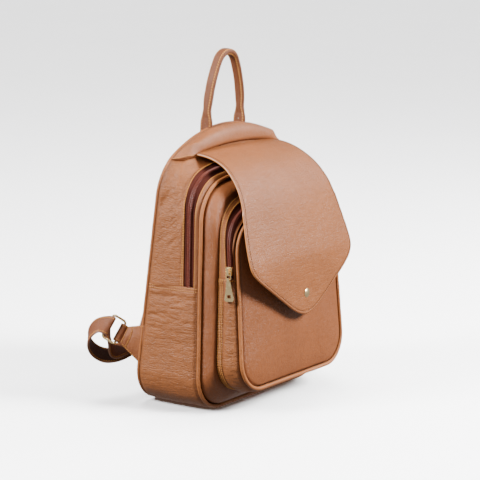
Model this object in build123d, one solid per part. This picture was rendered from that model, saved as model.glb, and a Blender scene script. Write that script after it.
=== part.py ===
from build123d import *
import math
import os

# Leather backpack. Millimetres. X across the back, -Y towards the front flap, +Z up.
# The origin is on the ground, at the middle of the flat base.

# ---- main bag ----------------------------------------------------------------------------
LEATHER = 3.0                # leather, backing and glue of one wall
BACK_FOOT_Y = 56.0           # where the back panel's outer face meets the ground
BACK_LEAN = 0.115            # how far the back leans forward for each millimetre of height
FRONT_SEAM_Y = -41.0         # outer plane of the main front seam
YOKE_SEAM_Y = -3.0           # fore and aft place of the yoke seam at the centre
PIPE_R = 2.4                 # radius of the rolled piping
SEAM = 5.0                   # depth that a piped seam takes between two walls
LOWER_TOP = 156.0            # top edge of the lower gusset
YOKE_SEAM_Z = 308.0          # height of the seam under the yoke

# outlines, seen from the front: half width low down, half width and height of the straight
# side's top, base, top, base corner radius, shoulder radius, top radius
BACK_OUTLINE = (139.0, 131.0, 245.0, SEAM * BACK_LEAN, 343.0, 50.0, 62.0, 195.0)
MID_OUTLINE = (134.0, 128.0, 246.0, 0.0, 310.5, 44.0, 50.0, 500.0)
FRONT_OUTLINE = (133.0, 126.0, 235.0, 0.0, 291.0, 45.0, 52.0, 500.0)

# main zip, measured forward from the back of its tape
ZIP_REAR_Y = -17.0
ZIP_FRONT_Y = -31.0
TAPE = 1.0                   # thickness of a zip tape
TAPE_RECESS = 1.2            # how far the tape lies under the leather's face
COIL_GAP = 0.1               # air between the coil and its tape
PIPE_GAP = 0.2               # how much further in than its own radius a piping lies
COIL_HALF = 1.3              # half the width of a zip's coil, and its height above the leather
LINING = 0.8                 # thickness of the cloth lining
FOAM = 4.0                   # thickness of the back's padding
SLIP_LEATHER = 1.5           # inner slip pocket, on the back wall
SLIP_HALF = 75.0
SLIP_FROM_Z = 90.0
SLIP_TO_Z = 205.0
BOARD_THICK = 2.0            # stiffener in the base
BOARD_HALF = 88.0
BOARD_FROM_SEAMS = (9.0, 14.0)     # how far the board stops short of the front and the back

# front panel and pocket
FRONT_PUFF = 15.0            # how far the main front panel stands forward of its seam
PANEL_FACE_OUTLINE = (122.0, 116.0, 232.0, 20.0, 280.0, 43.0, 47.0, 250.0)
POCKET_BASE_OUTLINE = (118.0, 112.0, 232.0, 24.0, 276.0, 42.0, 45.0, 250.0)
POCKET_OUTLINE = (112.5, 107.5, 215.0, 27.0, 254.0, 40.0, 42.0, 190.0)
POCKET_FOOT_Y = -95.6        # where the pocket's front plane meets the ground
POCKET_LEAN = 0.07          # how far the pocket's front leans back for each millimetre
POCKET_LOWER_TOP = 168.0     # top edge of the pocket's lower gusset
POCKET_TAPE_FROM = 7.5       # the pocket zip's tape, measured back from the pocket's front plane
POCKET_TAPE_TO = 15.5
POCKET_BACK = -100.0         # further behind the pocket's front plane than its base
POCKET_PUFF = 10.0           # how far the pocket's front stands out in the middle
POCKET_PUFF_OUTLINE = (72.0, 70.0, 130.0, 72.0, 172.0, 30.0, 30.0, 150.0)

# flap
FLAP_THICK = 3.0
FLAP_LINING = 0.8
FLAP_HINGE_Y = -4.0
FLAP_ARC_R = 87.0            # outer radius where the flap turns down over the top
FLAP_ARC_Z = 221.5
FLAP_ARC_TURN = 72.0
FLAP_CROWN = 8.0             # how far the middle of the flap stands out from its side edges
FLAP_ROOT_CROWN = 0.8        # the share of the crown that is there at the root
FLAP_HALF = 111.0
FLAP_SIDE = [(84.0, 330.0), (85.0, 302.0), (90.0, 289.0), (98.0, 257.0), (108.0, 214.0), (111.0, 187.0)]
FLAP_POINT = [(108.0, 176.0), (97.0, 165.0), (61.0, 141.0), (22.0, 115.5), (8.0, 111.5)]
# side view below the turn: y, z, and the share of the crown that is left there
FLAP_DROP = [(-103.0, 186.0, 0.7), (-107.0, 166.0, 0.3), (-109.0, 140.0, 0.0), (-109.5, 105.0, 0.0)]
FLAP_STATIONS = [-118.0, -90.0, -60.0, -30.0, 0.0, 30.0, 60.0, 90.0, 118.0]
SNAP_Z = 137.0
SNAP_DOME_R = 9.9            # the cap is a slice of this sphere
SNAP_CAP_R = 6.0
SNAP_CAP_SUNK = 7.8          # how far the sphere's centre lies behind the leather's face
SOCKET_R = 5.2
SOCKET_THICK = 1.8
SNAP_GAP = 0.5               # air between the flap's lining and the socket
STUD_R = 4.0
STUD_GAP = 0.5               # air between the socket and the stud
STUD_ROOT = 0.9              # how far the stud reaches into the pocket's front

# handle
HANDLE_LEG_X = 35.0
HANDLE_Y = 18.5
HANDLE_FOOT_Z = 340.6
HANDLE_BEND_Z = 348.0
HANDLE_TOP_R = 20.0
HANDLE_TOP_Z = 428.5
HANDLE_THICK = 7.5
HANDLE_WIDE = 13.0
HANDLE_LEAN = 3.5            # degrees forward
HANDLE_CORE_R = 2.6

# straps and their rings, on the left side; the right side is a mirror image
STRAP_WIDE = 25.0
STRAP_THICK = 2.4
RING_WIRE = 1.5
RING_LONG = 30.5             # between the centres of the ring's short sides
RING_SHORT = 20.0            # between the centres of its two bars
RING_BEND = 4.0
RING_BAR_AT = (-145.0, 69.5, 89.5)
RING_BAR_AXIS = Vector(0.55, -0.18, 0.815).normalized()
RING_ACROSS = Vector(0.716, -0.400, -0.572)
LOOP_WIDE = 23.0
LOOP_R = 4.6
LOOP_BORE = 2.3
TAB_LOW = 50.0
TAB_HIGH = 102.0
TAB_THICK = 4.0
TAB_SEAM_GAP = 0.6           # air between the tab and the back's piping
TAB_OUTSIDE_SEAM = 1.2       # how far outside the bag's outline the tab's seam is
TURN_AT = Vector(-148.5, 87.0, 79.5)
TURN_ALONG = Vector(0.585, -0.811, 0.0)
TURN_UP = Vector(-0.438, -0.316, 0.838)
TURN_R1 = 24.0
TURN_R2 = 29.0
FOLD_R = 4.4                 # loose fold of the strap round the ring's bar
GLIDE_AT = Vector(-64.0, 62.5, 161.0)
GLIDE_ALONG = Vector(8.0, -5.0, 26.0).normalized()
GLIDE_OUT = Vector(0.0, 26.0, 5.0).normalized()
LEVEL = Vector(1.0, 0.0, 0.0)
TURN_SIDE = Vector(0.68, 0.49, 0.54)
# places along the strap, each with the direction of its width: the top end, then down to the turn
STRAP_ANCHOR = [Vector(-21, 25.3, 300), Vector(-24, 27.5, 290), Vector(-28.2, 34.6, 276)]
STRAP_TUCK = Vector(3, -1, 0)      # how far the strap's low part is drawn in behind the bag
STRAP_DOWN = [
    (Vector(-29, 36, 272), LEVEL),
    (Vector(-39, 45, 244), LEVEL),
    (GLIDE_AT + GLIDE_ALONG * 40, LEVEL),
    (GLIDE_AT + GLIDE_ALONG * 14, Vector(1, 0, 0.1)),
    (GLIDE_AT - GLIDE_ALONG * 14, Vector(1, 0, 0.1)),
    (GLIDE_AT - GLIDE_ALONG * 42 + STRAP_TUCK, Vector(1, 0.03, 0.12)),
    (Vector(-85, 72, 92), Vector(0.9, 0.3, -0.2)),
    (Vector(-104, 80, 63), Vector(0.65, 0.7, 0.1)),
]
TURN_ANGLES = (282, 250, 220, 190, 160, 130, 106)
RETURN_GAP = GLIDE_OUT * 5.0
# the end that comes back from the ring to the glide, inside the turn and then outside the strap
RETURN_TURN = (290, 6)       # the turn's angle there, and how far inside it
RETURN_UP = [
    (Vector(-120, 82, 65), Vector(0.5, 0.7, 0.4)),
    (Vector(-106, 82, 69), Vector(0.65, 0.7, 0.1)),
    (Vector(-86.7, 78, 93.5), Vector(0.9, 0.3, -0.2)),
    (GLIDE_AT - GLIDE_ALONG * 42 + STRAP_TUCK + RETURN_GAP, LEVEL),
    (GLIDE_AT - GLIDE_ALONG * 28 + RETURN_GAP, LEVEL),
]
PATCH_HALF = 46.0            # the patch over both strap ends
PATCH_FROM_Z = 288.0
PATCH_TO_Z = 322.0
PATCH_THICK = 1.9
PATCH_GAP = 0.1
GLIDE_WIDE = 34.0
GLIDE_LONG = 17.0
GLIDE_THICK = 2.4
GLIDE_BAR = 3.0
GLIDE_CORNER = 3.0
GLIDE_GAP = 0.6              # air between the glide and the strap it slides on

# zip slider, in its own frame: x along the zip, y across it, z out of the bag
SLIDER_LONG = 11.0
SLIDER_WIDE = 8.0
SLIDER_LIFT = 1.5
SLIDER_TOP = 5.2
SLIDER_CORNER = 2.0
SLOT_TOP = 3.3
SLOT_CLEAR = 0.7             # air on each side of the coil
BRIDGE_LONG = 8.0
BRIDGE_WIDE = 2.6
BRIDGE_RISE = 2.1            # how far the bridge stands over the link's centre
BRIDGE_HOLE = (4.4, 2.2)
LINK_Z = 6.7
LINK_LONG = 9.6
LINK_WIDE = 5.6
LINK_R = 0.7
LINK_BEND = 1.4
PULL_LONG = 24.5
PULL_THICK = 1.8
PULL_HALF_TOP = 2.4
PULL_HALF_LOW = 6.0
PULL_CUT = (2.0, 1.6)        # the cut corners at the pull's foot
PULL_NECK = 1.8              # from the link's bar to the top of the plate
EYE = (4.0, 3.2, 4.0)
EYE_BORE_R = 0.85
WINDOW = (4.0, 4.6)
WINDOW_UP = 6.0              # from the pull's foot to the middle of its window

# where each slider stands: on the tape, its x direction up the zip and its z direction outwards
POCKET_SLIDER = Plane(origin=(-109.2, -71.6, 178.0), x_dir=(0.034, 0.07, 1.0), z_dir=(-1.0, -0.22, 0.05))
MAIN_SLIDER = Plane(origin=(127.6, -24.0, 170.0), x_dir=(-0.033, 0.0, 1.0), z_dir=(1.0, 0.0, 0.033))

CLEAR = 0.3                  # air left between neighbours
FAR = 400.0                  # further than any part of the bag

parts = {}


# ---- helpers -----------------------------------------------------------------------------
def lean_plane(foot_y, lean):
    """A plane through the X direction that leans towards +Y or -Y; its normal points forward."""
    angle = math.atan(lean)
    return Plane(origin=(0, foot_y, 0), x_dir=(1, 0, 0), z_dir=(0, -math.cos(angle), -math.sin(angle)))


def upright_plane(y):
    return Plane(origin=(0, y, 0), x_dir=(1, 0, 0), z_dir=(0, -1, 0))


BACK_PLANE = lean_plane(BACK_FOOT_Y, BACK_LEAN)
POCKET_PLANE = lean_plane(POCKET_FOOT_Y, -POCKET_LEAN)


def arch(plane, outline, inset=0.0):
    """A closed wire: flat base, rounded corners, straight sides, shoulders and a shallow top arc."""
    low, high, high_at, base, top, r_base, r_shoulder, r_top = outline
    side = Vector(high - low, high_at - base - r_base).normalized()
    inward = Vector(-side.Y, side.X)
    corner_z = base + r_base
    corner_x = low + inward.X * r_base - side.X * inward.Y * r_base / side.Y
    hub = Vector(0, top - r_top)
    start = Vector(low, corner_z) + inward * r_shoulder - hub
    along = start.dot(side)
    reach = -along + math.sqrt(along ** 2 - start.dot(start) + (r_top - r_shoulder) ** 2)
    shoulder = hub + start + side * reach
    side_angle = math.atan2(-inward.Y, -inward.X)
    top_angle = math.atan2(shoulder.Y - hub.Y, shoulder.X - hub.X)

    def place(centre_x, centre_z, radius, angle):
        x = centre_x + (radius - inset) * math.cos(angle)
        z = centre_z + (radius - inset) * math.sin(angle)
        return x, z

    arcs = [
        (corner_x, corner_z, r_base, -math.pi / 2, side_angle),
        (shoulder.X, shoulder.Y, r_shoulder, side_angle, top_angle),
        (hub.X, hub.Y, r_top, top_angle, math.pi - top_angle),
        (-shoulder.X, shoulder.Y, r_shoulder, math.pi - top_angle, math.pi - side_angle),
        (-corner_x, corner_z, r_base, math.pi - side_angle, 1.5 * math.pi),
    ]
    edges = []
    ends = []
    for cx, cz, radius, first, last in arcs:
        three = [place(cx, cz, radius, a) for a in (first, (first + last) / 2, last)]
        three = [plane.from_local_coords(Vector(x, z, 0)) for x, z in three]
        if ends and (three[0] - ends[-1]).length > 1e-6:
            edges.append(Edge.make_line(ends[-1], three[0]))
        edges.append(Edge.make_three_point_arc(*three))
        ends.append(three[2])
    edges.append(Edge.make_line(ends[-1], edges[0] @ 0))
    return Wire(edges)


def wall(rings, inset, thick):
    """A hoop of wall: a loft through (plane, outline) pairs, less the same loft further in."""
    outer = Solid.make_loft([arch(plane, outline, inset) for plane, outline in rings], True)
    inner = Solid.make_loft([arch(plane, outline, inset + thick) for plane, outline in rings], True)
    return outer - inner


def slab(plane, outline, inset, start, end):
    """A flat panel of the outline, between two distances forward of a plane."""
    face = Face(arch(plane.offset(start), outline, inset))
    return Solid.extrude(face, plane.z_dir * (end - start))


def piping(plane, outline, inset, radius):
    path = arch(plane, outline, inset)
    place = Plane(origin=path @ 0, z_dir=path % 0)
    return Solid.sweep(Face(Wire.make_circle(radius, place)), path)


def span(x0, x1, y0, y1, z0, z1):
    return Pos((x0 + x1) / 2, (y0 + y1) / 2, (z0 + z1) / 2) * Box(x1 - x0, y1 - y0, z1 - z0)


def across(y0, y1, z0, z1):
    """A block right across the bag."""
    return span(-FAR, FAR, y0, y1, z0, z1)


def between(plane, start, end, z0, z1):
    """A wide block between two distances forward of a plane and two heights."""
    face = Face.make_rect(2 * FAR, 2 * FAR, plane.offset(start))
    block = Solid.extrude(face, plane.z_dir * (end - start))
    return block & across(-FAR, FAR, z0, z1)


def largest(shape):
    return max(shape.solids(), key=lambda solid: solid.volume)


def smooth(points, steps=4):
    """Catmull-Rom points through a list of vectors."""
    first = points[0] * 2 - points[1]
    last = points[-1] * 2 - points[-2]
    knots = [first] + points + [last]
    result = []
    for i in range(1, len(knots) - 2):
        p0, p1, p2, p3 = knots[i - 1:i + 3]
        for k in range(steps):
            t = k / steps
            cubic = p1 * 2 + (p2 - p0) * t
            cubic += (p0 * 2 - p1 * 5 + p2 * 4 - p3) * t ** 2
            cubic += (p1 * 3 - p0 - p2 * 3 + p3) * t ** 3
            result.append(cubic * 0.5)
    return result + [points[-1]]


def ribbon(points, sides, wide, thick):
    """A flat strap along the points; sides give the direction of its width at each of them."""
    sections = []
    for i, point in enumerate(points):
        ahead = points[min(i + 1, len(points) - 1)]
        behind = points[max(i - 1, 0)]
        tangent = (ahead - behind).normalized()
        side = (sides[i] - tangent * sides[i].dot(tangent)).normalized()
        up = tangent.cross(side)
        corners = [(1, 1), (-1, 1), (-1, -1), (1, -1)]
        wire = [point + side * (wide / 2 * a) + up * (thick / 2 * b) for a, b in corners]
        sections.append(Wire.make_polygon(wire, close=True))
    return Solid.make_loft(sections, True)


def tube(radius, start, end):
    axis = end - start
    return Solid.make_cylinder(radius, axis.length, Plane(origin=start, z_dir=axis.normalized()))


def both_sides(name, shape):
    parts["left_" + name] = shape
    parts["right_" + name] = shape.mirror(Plane.YZ)


# ---- main bag ----------------------------------------------------------------------------
def main_bag():
    rings = [
        (BACK_PLANE.offset(SEAM), BACK_OUTLINE),
        (upright_plane(YOKE_SEAM_Y), MID_OUTLINE),
        (upright_plane(FRONT_SEAM_Y + SEAM), FRONT_OUTLINE),
    ]
    hoop = wall(rings, 0.0, LEATHER)
    tape_hoop = wall(rings, TAPE_RECESS, TAPE)
    above = LOWER_TOP + CLEAR
    parts["lower_gusset"] = hoop & across(-FAR, FAR, -1, LOWER_TOP)
    parts["yoke"] = largest(hoop & across(YOKE_SEAM_Y, FAR, YOKE_SEAM_Z + CLEAR, FAR))
    upper = hoop & across(ZIP_REAR_Y, FAR, above, FAR)
    parts["upper_gusset"] = largest(upper - across(YOKE_SEAM_Y - CLEAR, FAR, YOKE_SEAM_Z, FAR))
    parts["main_zip_tape"] = tape_hoop & across(ZIP_FRONT_Y + CLEAR, ZIP_REAR_Y - CLEAR, above, FAR)
    parts["front_gusset_strip"] = hoop & across(-FAR, ZIP_FRONT_Y, above, FAR)
    coil_y = (ZIP_REAR_Y + ZIP_FRONT_Y) / 2
    ridge = wall(rings, -COIL_HALF, COIL_HALF + TAPE_RECESS - COIL_GAP)
    parts["main_zip_coil"] = ridge & across(coil_y - COIL_HALF, coil_y + COIL_HALF, above, FAR)

    inset = 2 * PIPE_R + 2 * CLEAR
    parts["back_panel"] = slab(BACK_PLANE, BACK_OUTLINE, inset, 0.0, LEATHER)
    parts["back_foam"] = slab(BACK_PLANE, BACK_OUTLINE, inset + LEATHER, LEATHER, LEATHER + FOAM)
    pipe_inset = PIPE_R + PIPE_GAP
    parts["back_piping"] = piping(BACK_PLANE.offset(PIPE_R), BACK_OUTLINE, pipe_inset, PIPE_R)
    parts["front_piping"] = piping(upright_plane(FRONT_SEAM_Y + PIPE_R), FRONT_OUTLINE, pipe_inset, PIPE_R)

    seam = upright_plane(FRONT_SEAM_Y + SEAM)
    face = upright_plane(FRONT_SEAM_Y - FRONT_PUFF)
    puff = Solid.make_loft([arch(seam, FRONT_OUTLINE, inset), arch(face, PANEL_FACE_OUTLINE)], True)
    hollow = Solid.make_loft([arch(seam.offset(-1), FRONT_OUTLINE, inset + LEATHER),
                              arch(face.offset(-LEATHER), PANEL_FACE_OUTLINE, LEATHER)], True)
    parts["main_front_panel"] = puff - hollow

    soft = wall(rings, LEATHER + CLEAR, LINING)
    parts["main_lining"] = soft & between(BACK_PLANE, 2 * SEAM, FAR / 2, 0, FAR)
    board_z = LEATHER + LINING + 2 * CLEAR
    front_gap, back_gap = BOARD_FROM_SEAMS
    parts["base_board"] = span(-BOARD_HALF, BOARD_HALF, FRONT_SEAM_Y + front_gap, BACK_FOOT_Y - back_gap,
                               board_z, board_z + BOARD_THICK)
    slip_at = LEATHER + FOAM + CLEAR
    slip = between(BACK_PLANE, slip_at, slip_at + SLIP_LEATHER, SLIP_FROM_Z, SLIP_TO_Z)
    parts["inner_slip_pocket"] = slip & span(-SLIP_HALF, SLIP_HALF, -FAR, FAR, 0, FAR)


# ---- front pocket ------------------------------------------------------------------------
def front_pocket():
    base = upright_plane(FRONT_SEAM_Y - FRONT_PUFF - CLEAR)
    rings = [(base, POCKET_BASE_OUTLINE), (POCKET_PLANE.offset(-SEAM), POCKET_OUTLINE)]
    hoop = wall(rings, 0.0, LEATHER)
    tape_hoop = wall(rings, TAPE_RECESS, TAPE)
    parts["pocket_lower_gusset"] = hoop & across(-FAR, FAR, 0, POCKET_LOWER_TOP)
    z0 = POCKET_LOWER_TOP + CLEAR
    parts["pocket_rear_strip"] = hoop & between(POCKET_PLANE, POCKET_BACK, -POCKET_TAPE_TO, z0, FAR)
    parts["pocket_front_strip"] = hoop & between(POCKET_PLANE, -POCKET_TAPE_FROM, SEAM, z0, FAR)
    parts["pocket_zip_tape"] = tape_hoop & between(POCKET_PLANE, -POCKET_TAPE_TO + CLEAR,
                                                   -POCKET_TAPE_FROM - CLEAR, z0, FAR)
    coil_at = -(POCKET_TAPE_FROM + POCKET_TAPE_TO) / 2
    ridge = wall(rings, -COIL_HALF, COIL_HALF + TAPE_RECESS - COIL_GAP)
    parts["pocket_zip_coil"] = ridge & between(POCKET_PLANE, coil_at - COIL_HALF, coil_at + COIL_HALF, z0, FAR)

    inset = 2 * PIPE_R + CLEAR
    parts["pocket_piping"] = piping(POCKET_PLANE.offset(-PIPE_R), POCKET_OUTLINE, PIPE_R, PIPE_R)
    rim = POCKET_PLANE.offset(-LEATHER)
    edge = slab(rim, POCKET_OUTLINE, inset, 0.0, LEATHER)
    crown = Solid.make_loft([arch(POCKET_PLANE, POCKET_OUTLINE, inset),
                             arch(POCKET_PLANE.offset(POCKET_PUFF), POCKET_PUFF_OUTLINE)], True)
    hollow = Solid.make_loft([arch(rim.offset(-1), POCKET_OUTLINE, inset + 2 * LEATHER),
                              arch(rim.offset(POCKET_PUFF), POCKET_PUFF_OUTLINE, LEATHER)], True)
    parts["pocket_front_panel"] = (edge + crown) - hollow

    soft = wall(rings, LEATHER + CLEAR, LINING)
    parts["pocket_lining"] = soft & between(POCKET_PLANE, POCKET_BACK, -SEAM - 1, 0, FAR)


# ---- flap --------------------------------------------------------------------------------
def flap_profile(x, depth):
    """The flap's side view at x, this far inside its outer face, from the root to the point."""
    crown = FLAP_CROWN * (1 - (x / FLAP_HALF) ** 2)
    turn = math.radians(FLAP_ARC_TURN)

    def on_arc(angle, stand):
        reach = FLAP_ARC_R - depth + stand
        return Vector(x, -reach * math.sin(angle), FLAP_ARC_Z + reach * math.cos(angle))

    root = Vector(x, FLAP_HINGE_Y - CLEAR, FLAP_ARC_Z + FLAP_ARC_R - depth + crown * FLAP_ROOT_CROWN)
    crest = on_arc(turn / 2, crown)
    end = on_arc(turn, crown)
    drop = [Vector(x, y + depth - crown * share, z) for y, z, share in FLAP_DROP]
    return [Edge.make_three_point_arc(root, crest, end)] + \
           [Edge.make_line(a, b) for a, b in zip([end] + drop, drop)]


def flap_layer(depth, thick, inset):
    sections = []
    for x in FLAP_STATIONS:
        outer = flap_profile(x, depth)
        inner = flap_profile(x, depth + thick)
        caps = [Edge.make_line(outer[0] @ 0, inner[0] @ 0), Edge.make_line(outer[-1] @ 1, inner[-1] @ 1)]
        sections.append(Wire(outer + inner + caps))
    band = Solid.make_loft(sections, True)
    right = [(x - inset, z) for x, z in FLAP_SIDE] + [(x - inset, z + inset) for x, z in FLAP_POINT]
    outline = right + [(-x, z) for x, z in reversed(right)]
    cutter = Face(Wire.make_polygon([Vector(x, 20, z) for x, z in outline], close=True))
    return largest(band & Solid.extrude(cutter, Vector(0, -200, 0)))


def flap():
    parts["flap"] = flap_layer(0.0, FLAP_THICK, 0.0)
    parts["flap_lining"] = flap_layer(FLAP_THICK + 0.05, FLAP_LINING, 3.0)
    (y1, z1, _), (y2, z2, _) = FLAP_DROP[2:4]
    outer_y = y1 + (y2 - y1) * (SNAP_Z - z1) / (z2 - z1)
    inner_y = outer_y + FLAP_THICK + FLAP_LINING + SNAP_GAP
    forward = Plane(origin=(0, outer_y - CLEAR, SNAP_Z), z_dir=(0, -1, 0))
    dome = Solid.make_sphere(SNAP_DOME_R, Plane(origin=(0, outer_y + SNAP_CAP_SUNK, SNAP_Z)))
    parts["snap_cap"] = dome & Solid.make_cylinder(SNAP_CAP_R, SNAP_CAP_R, forward)
    socket = Plane(origin=(0, inner_y, SNAP_Z), z_dir=(0, 1, 0))
    parts["snap_socket"] = Solid.make_cylinder(SOCKET_R, SOCKET_THICK, socket)
    panel_y = POCKET_FOOT_Y + POCKET_LEAN * SNAP_Z - POCKET_PUFF
    stud_y = inner_y + SOCKET_THICK + STUD_GAP
    stud = Solid.make_cylinder(STUD_R, panel_y + STUD_ROOT - inner_y - SOCKET_THICK,
                               Plane(origin=(0, stud_y, SNAP_Z), z_dir=(0, 1, 0)))
    parts["snap_stud"] = stud - parts["pocket_front_panel"]


# ---- handle ------------------------------------------------------------------------------
def handle_path():
    hub_z = HANDLE_TOP_Z - HANDLE_TOP_R
    rise = hub_z - HANDLE_BEND_Z
    side_r = (HANDLE_LEG_X ** 2 + rise ** 2 - HANDLE_TOP_R ** 2) / (2 * (HANDLE_LEG_X - HANDLE_TOP_R))
    hub_x = HANDLE_LEG_X - side_r
    meet = math.atan2(rise, -hub_x)

    def at(x, z):
        return Vector(x, HANDLE_Y, z)

    def side(sign, angle):
        return at(sign * (hub_x + side_r * math.cos(angle)), HANDLE_BEND_Z + side_r * math.sin(angle))

    return Wire([
        Edge.make_line(at(HANDLE_LEG_X, HANDLE_FOOT_Z), at(HANDLE_LEG_X, HANDLE_BEND_Z)),
        Edge.make_three_point_arc(side(1, 0), side(1, meet / 2), side(1, meet)),
        Edge.make_three_point_arc(side(1, meet), at(0, HANDLE_TOP_Z), side(-1, meet)),
        Edge.make_three_point_arc(side(-1, meet), side(-1, meet / 2), side(-1, 0)),
        Edge.make_line(at(-HANDLE_LEG_X, HANDLE_BEND_Z), at(-HANDLE_LEG_X, HANDLE_FOOT_Z)),
    ])


def handle():
    path = handle_path()
    start = Plane(origin=path @ 0, x_dir=(1, 0, 0), z_dir=(0, 0, 1))
    shape = start * RectangleRounded(HANDLE_THICK, HANDLE_WIDE, HANDLE_THICK / 2 - 0.2)
    core = start * Circle(HANDLE_CORE_R)
    grip = sweep(shape, path) - sweep(start * Circle(HANDLE_CORE_R + 0.1), path)
    feet = Axis((0, HANDLE_Y, HANDLE_FOOT_Z), (1, 0, 0))
    parts["handle"] = grip.rotate(feet, HANDLE_LEAN)
    parts["handle_core"] = sweep(core, path).rotate(feet, HANDLE_LEAN)


# ---- straps, tabs and rings --------------------------------------------------------------
def ring_and_tab():
    bar = Vector(*RING_BAR_AT)
    half = RING_BAR_AXIS * (LOOP_WIDE / 2)
    sleeve = tube(LOOP_R, bar - half, bar + half) - tube(LOOP_BORE, bar - half * 1.1, bar + half * 1.1)
    both_sides("tab_loop", sleeve)

    centre = bar - RING_ACROSS * (RING_SHORT / 2)
    flat = Plane(origin=centre, x_dir=RING_BAR_AXIS, z_dir=RING_BAR_AXIS.cross(RING_ACROSS).normalized())
    loop = flat * RectangleRounded(RING_LONG, RING_SHORT, RING_BEND)
    path = loop.wire()
    start = Plane(origin=path @ 0, z_dir=path % 0)
    both_sides("ring", Solid.sweep(Face(Wire.make_circle(RING_WIRE, start)), path))

    edge_x = -BACK_OUTLINE[0] - TAB_OUTSIDE_SEAM
    seam = [Vector(edge_x, BACK_FOOT_Y - BACK_LEAN * z - PIPE_R, z) for z in (TAB_LOW, TAB_HIGH)]
    middle = (seam[0] + seam[1]) * 0.5
    outward = (bar - middle).normalized()
    near = bar - outward * (LOOP_R + CLEAR)
    far_edge = [near - half, near + half]
    normal = (seam[1] - seam[0]).cross(outward).normalized()
    inner = [point + outward * (PIPE_R + TAB_SEAM_GAP) for point in seam]
    thick = normal * (TAB_THICK / 2)
    sections = []
    for low, high in (inner, far_edge):
        wire = [low + thick, high + thick, high - thick, low - thick]
        sections.append(Wire.make_polygon(wire, close=True))
    both_sides("strap_tab", Solid.make_loft(sections, True))
    return centre - RING_ACROSS * (RING_SHORT / 2)


def turn(angle, shrink=0.0):
    angle = math.radians(angle)
    across = TURN_ALONG * ((TURN_R1 - shrink) * math.cos(angle))
    return TURN_AT + across + TURN_UP * ((TURN_R2 - shrink) * math.sin(angle))


def straps(strap_bar):
    out = RING_ACROSS.cross(RING_BAR_AXIS) * FOLD_R
    folded = [strap_bar + out, strap_bar + RING_ACROSS * FOLD_R]
    round_turn = [(turn(angle), TURN_SIDE) for angle in TURN_ANGLES]
    both_sides("strap", strap_along(STRAP_DOWN + round_turn + [(point, RING_BAR_AXIS) for point in folded]))
    both_sides("strap_end", ribbon(STRAP_ANCHOR, [LEVEL] * len(STRAP_ANCHOR), STRAP_WIDE, STRAP_THICK))

    inside = TURN_AT + TURN_ALONG * 2
    back = [
        (strap_bar + RING_ACROSS * 1.5 - out * 1.25, RING_BAR_AXIS),
        (inside + TURN_UP * 8, TURN_SIDE),
        (inside - TURN_UP * 10, TURN_SIDE),
        (turn(*RETURN_TURN), TURN_SIDE),
    ]
    both_sides("strap_return", strap_along(back + RETURN_UP))

    flat = Plane(origin=GLIDE_AT + GLIDE_OUT * (STRAP_THICK / 2 + GLIDE_GAP), x_dir=(1, 0, 0.3), z_dir=GLIDE_OUT)
    frame = RectangleRounded(GLIDE_WIDE, GLIDE_LONG, GLIDE_CORNER)
    slot_long = (GLIDE_LONG - 3 * GLIDE_BAR) / 2
    for sign in (-1, 1):
        frame -= Pos(0, sign * (slot_long + GLIDE_BAR) / 2) * Rectangle(GLIDE_WIDE - 2 * GLIDE_BAR, slot_long)
    both_sides("glide", flat * extrude(frame, GLIDE_THICK))

    patch = slab(BACK_PLANE, BACK_OUTLINE, 0.0, -PATCH_THICK - PATCH_GAP, -PATCH_GAP)
    parts["anchor_patch"] = patch & span(-PATCH_HALF, PATCH_HALF, -FAR, FAR, PATCH_FROM_Z, PATCH_TO_Z)


def strap_along(stations):
    points = smooth([point for point, _ in stations], 3)
    sides = smooth([side for _, side in stations], 3)
    return ribbon(points, sides, STRAP_WIDE, STRAP_THICK)


# ---- zip sliders -------------------------------------------------------------------------
def zip_slider(name, frame):
    """A slider that straddles the coil, its link and its pull; frame x runs up the zip, z out."""
    body = Pos(0, 0, (SLIDER_LIFT + SLIDER_TOP) / 2) * Box(SLIDER_LONG, SLIDER_WIDE, SLIDER_TOP - SLIDER_LIFT)
    body = fillet(body.edges().filter_by(Axis.Z), SLIDER_CORNER)
    slot = COIL_HALF + SLOT_CLEAR
    body -= span(-SLIDER_LONG, SLIDER_LONG, -slot, slot, -1.0, SLOT_TOP)
    bridge = span(-BRIDGE_LONG / 2, BRIDGE_LONG / 2, -BRIDGE_WIDE / 2, BRIDGE_WIDE / 2,
                  SLIDER_TOP, LINK_Z + BRIDGE_RISE)
    hole_long, hole_high = BRIDGE_HOLE
    bridge -= Pos(0, 0, LINK_Z) * Box(hole_long, 2 * BRIDGE_WIDE, hole_high)
    parts[name + "_slider"] = frame * (body + bridge)

    path = RectangleRounded(LINK_LONG, LINK_WIDE, LINK_BEND).wire()
    start = Plane(origin=path @ 0, z_dir=path % 0)
    link = Solid.sweep(Face(Wire.make_circle(LINK_R, start)), path)
    parts[name + "_link"] = frame * (Pos(-LINK_LONG / 2, 0, LINK_Z) * link)

    eye = Pos(-LINK_LONG, 0, LINK_Z) * Box(*EYE)
    top = -LINK_LONG - PULL_NECK
    low = top - PULL_LONG
    cut_long, cut_wide = PULL_CUT
    corners = [(top, PULL_HALF_TOP), (low + cut_long, PULL_HALF_LOW), (low, PULL_HALF_LOW - cut_wide)]
    corners += [(x, -y) for x, y in reversed(corners)]
    plate = extrude(make_face(Polyline(*corners, close=True)), PULL_THICK)
    plate = Pos(0, 0, LINK_Z - PULL_THICK / 2) * plate
    window = Pos(low + WINDOW_UP, 0, LINK_Z) * Box(*WINDOW, 4 * PULL_THICK)
    pin = Pos(-LINK_LONG, 0, LINK_Z) * Rot(90, 0, 0) * Cylinder(EYE_BORE_R, 2 * SLIDER_WIDE)
    parts[name + "_pull"] = frame * (eye + plate - window - pin)


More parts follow.
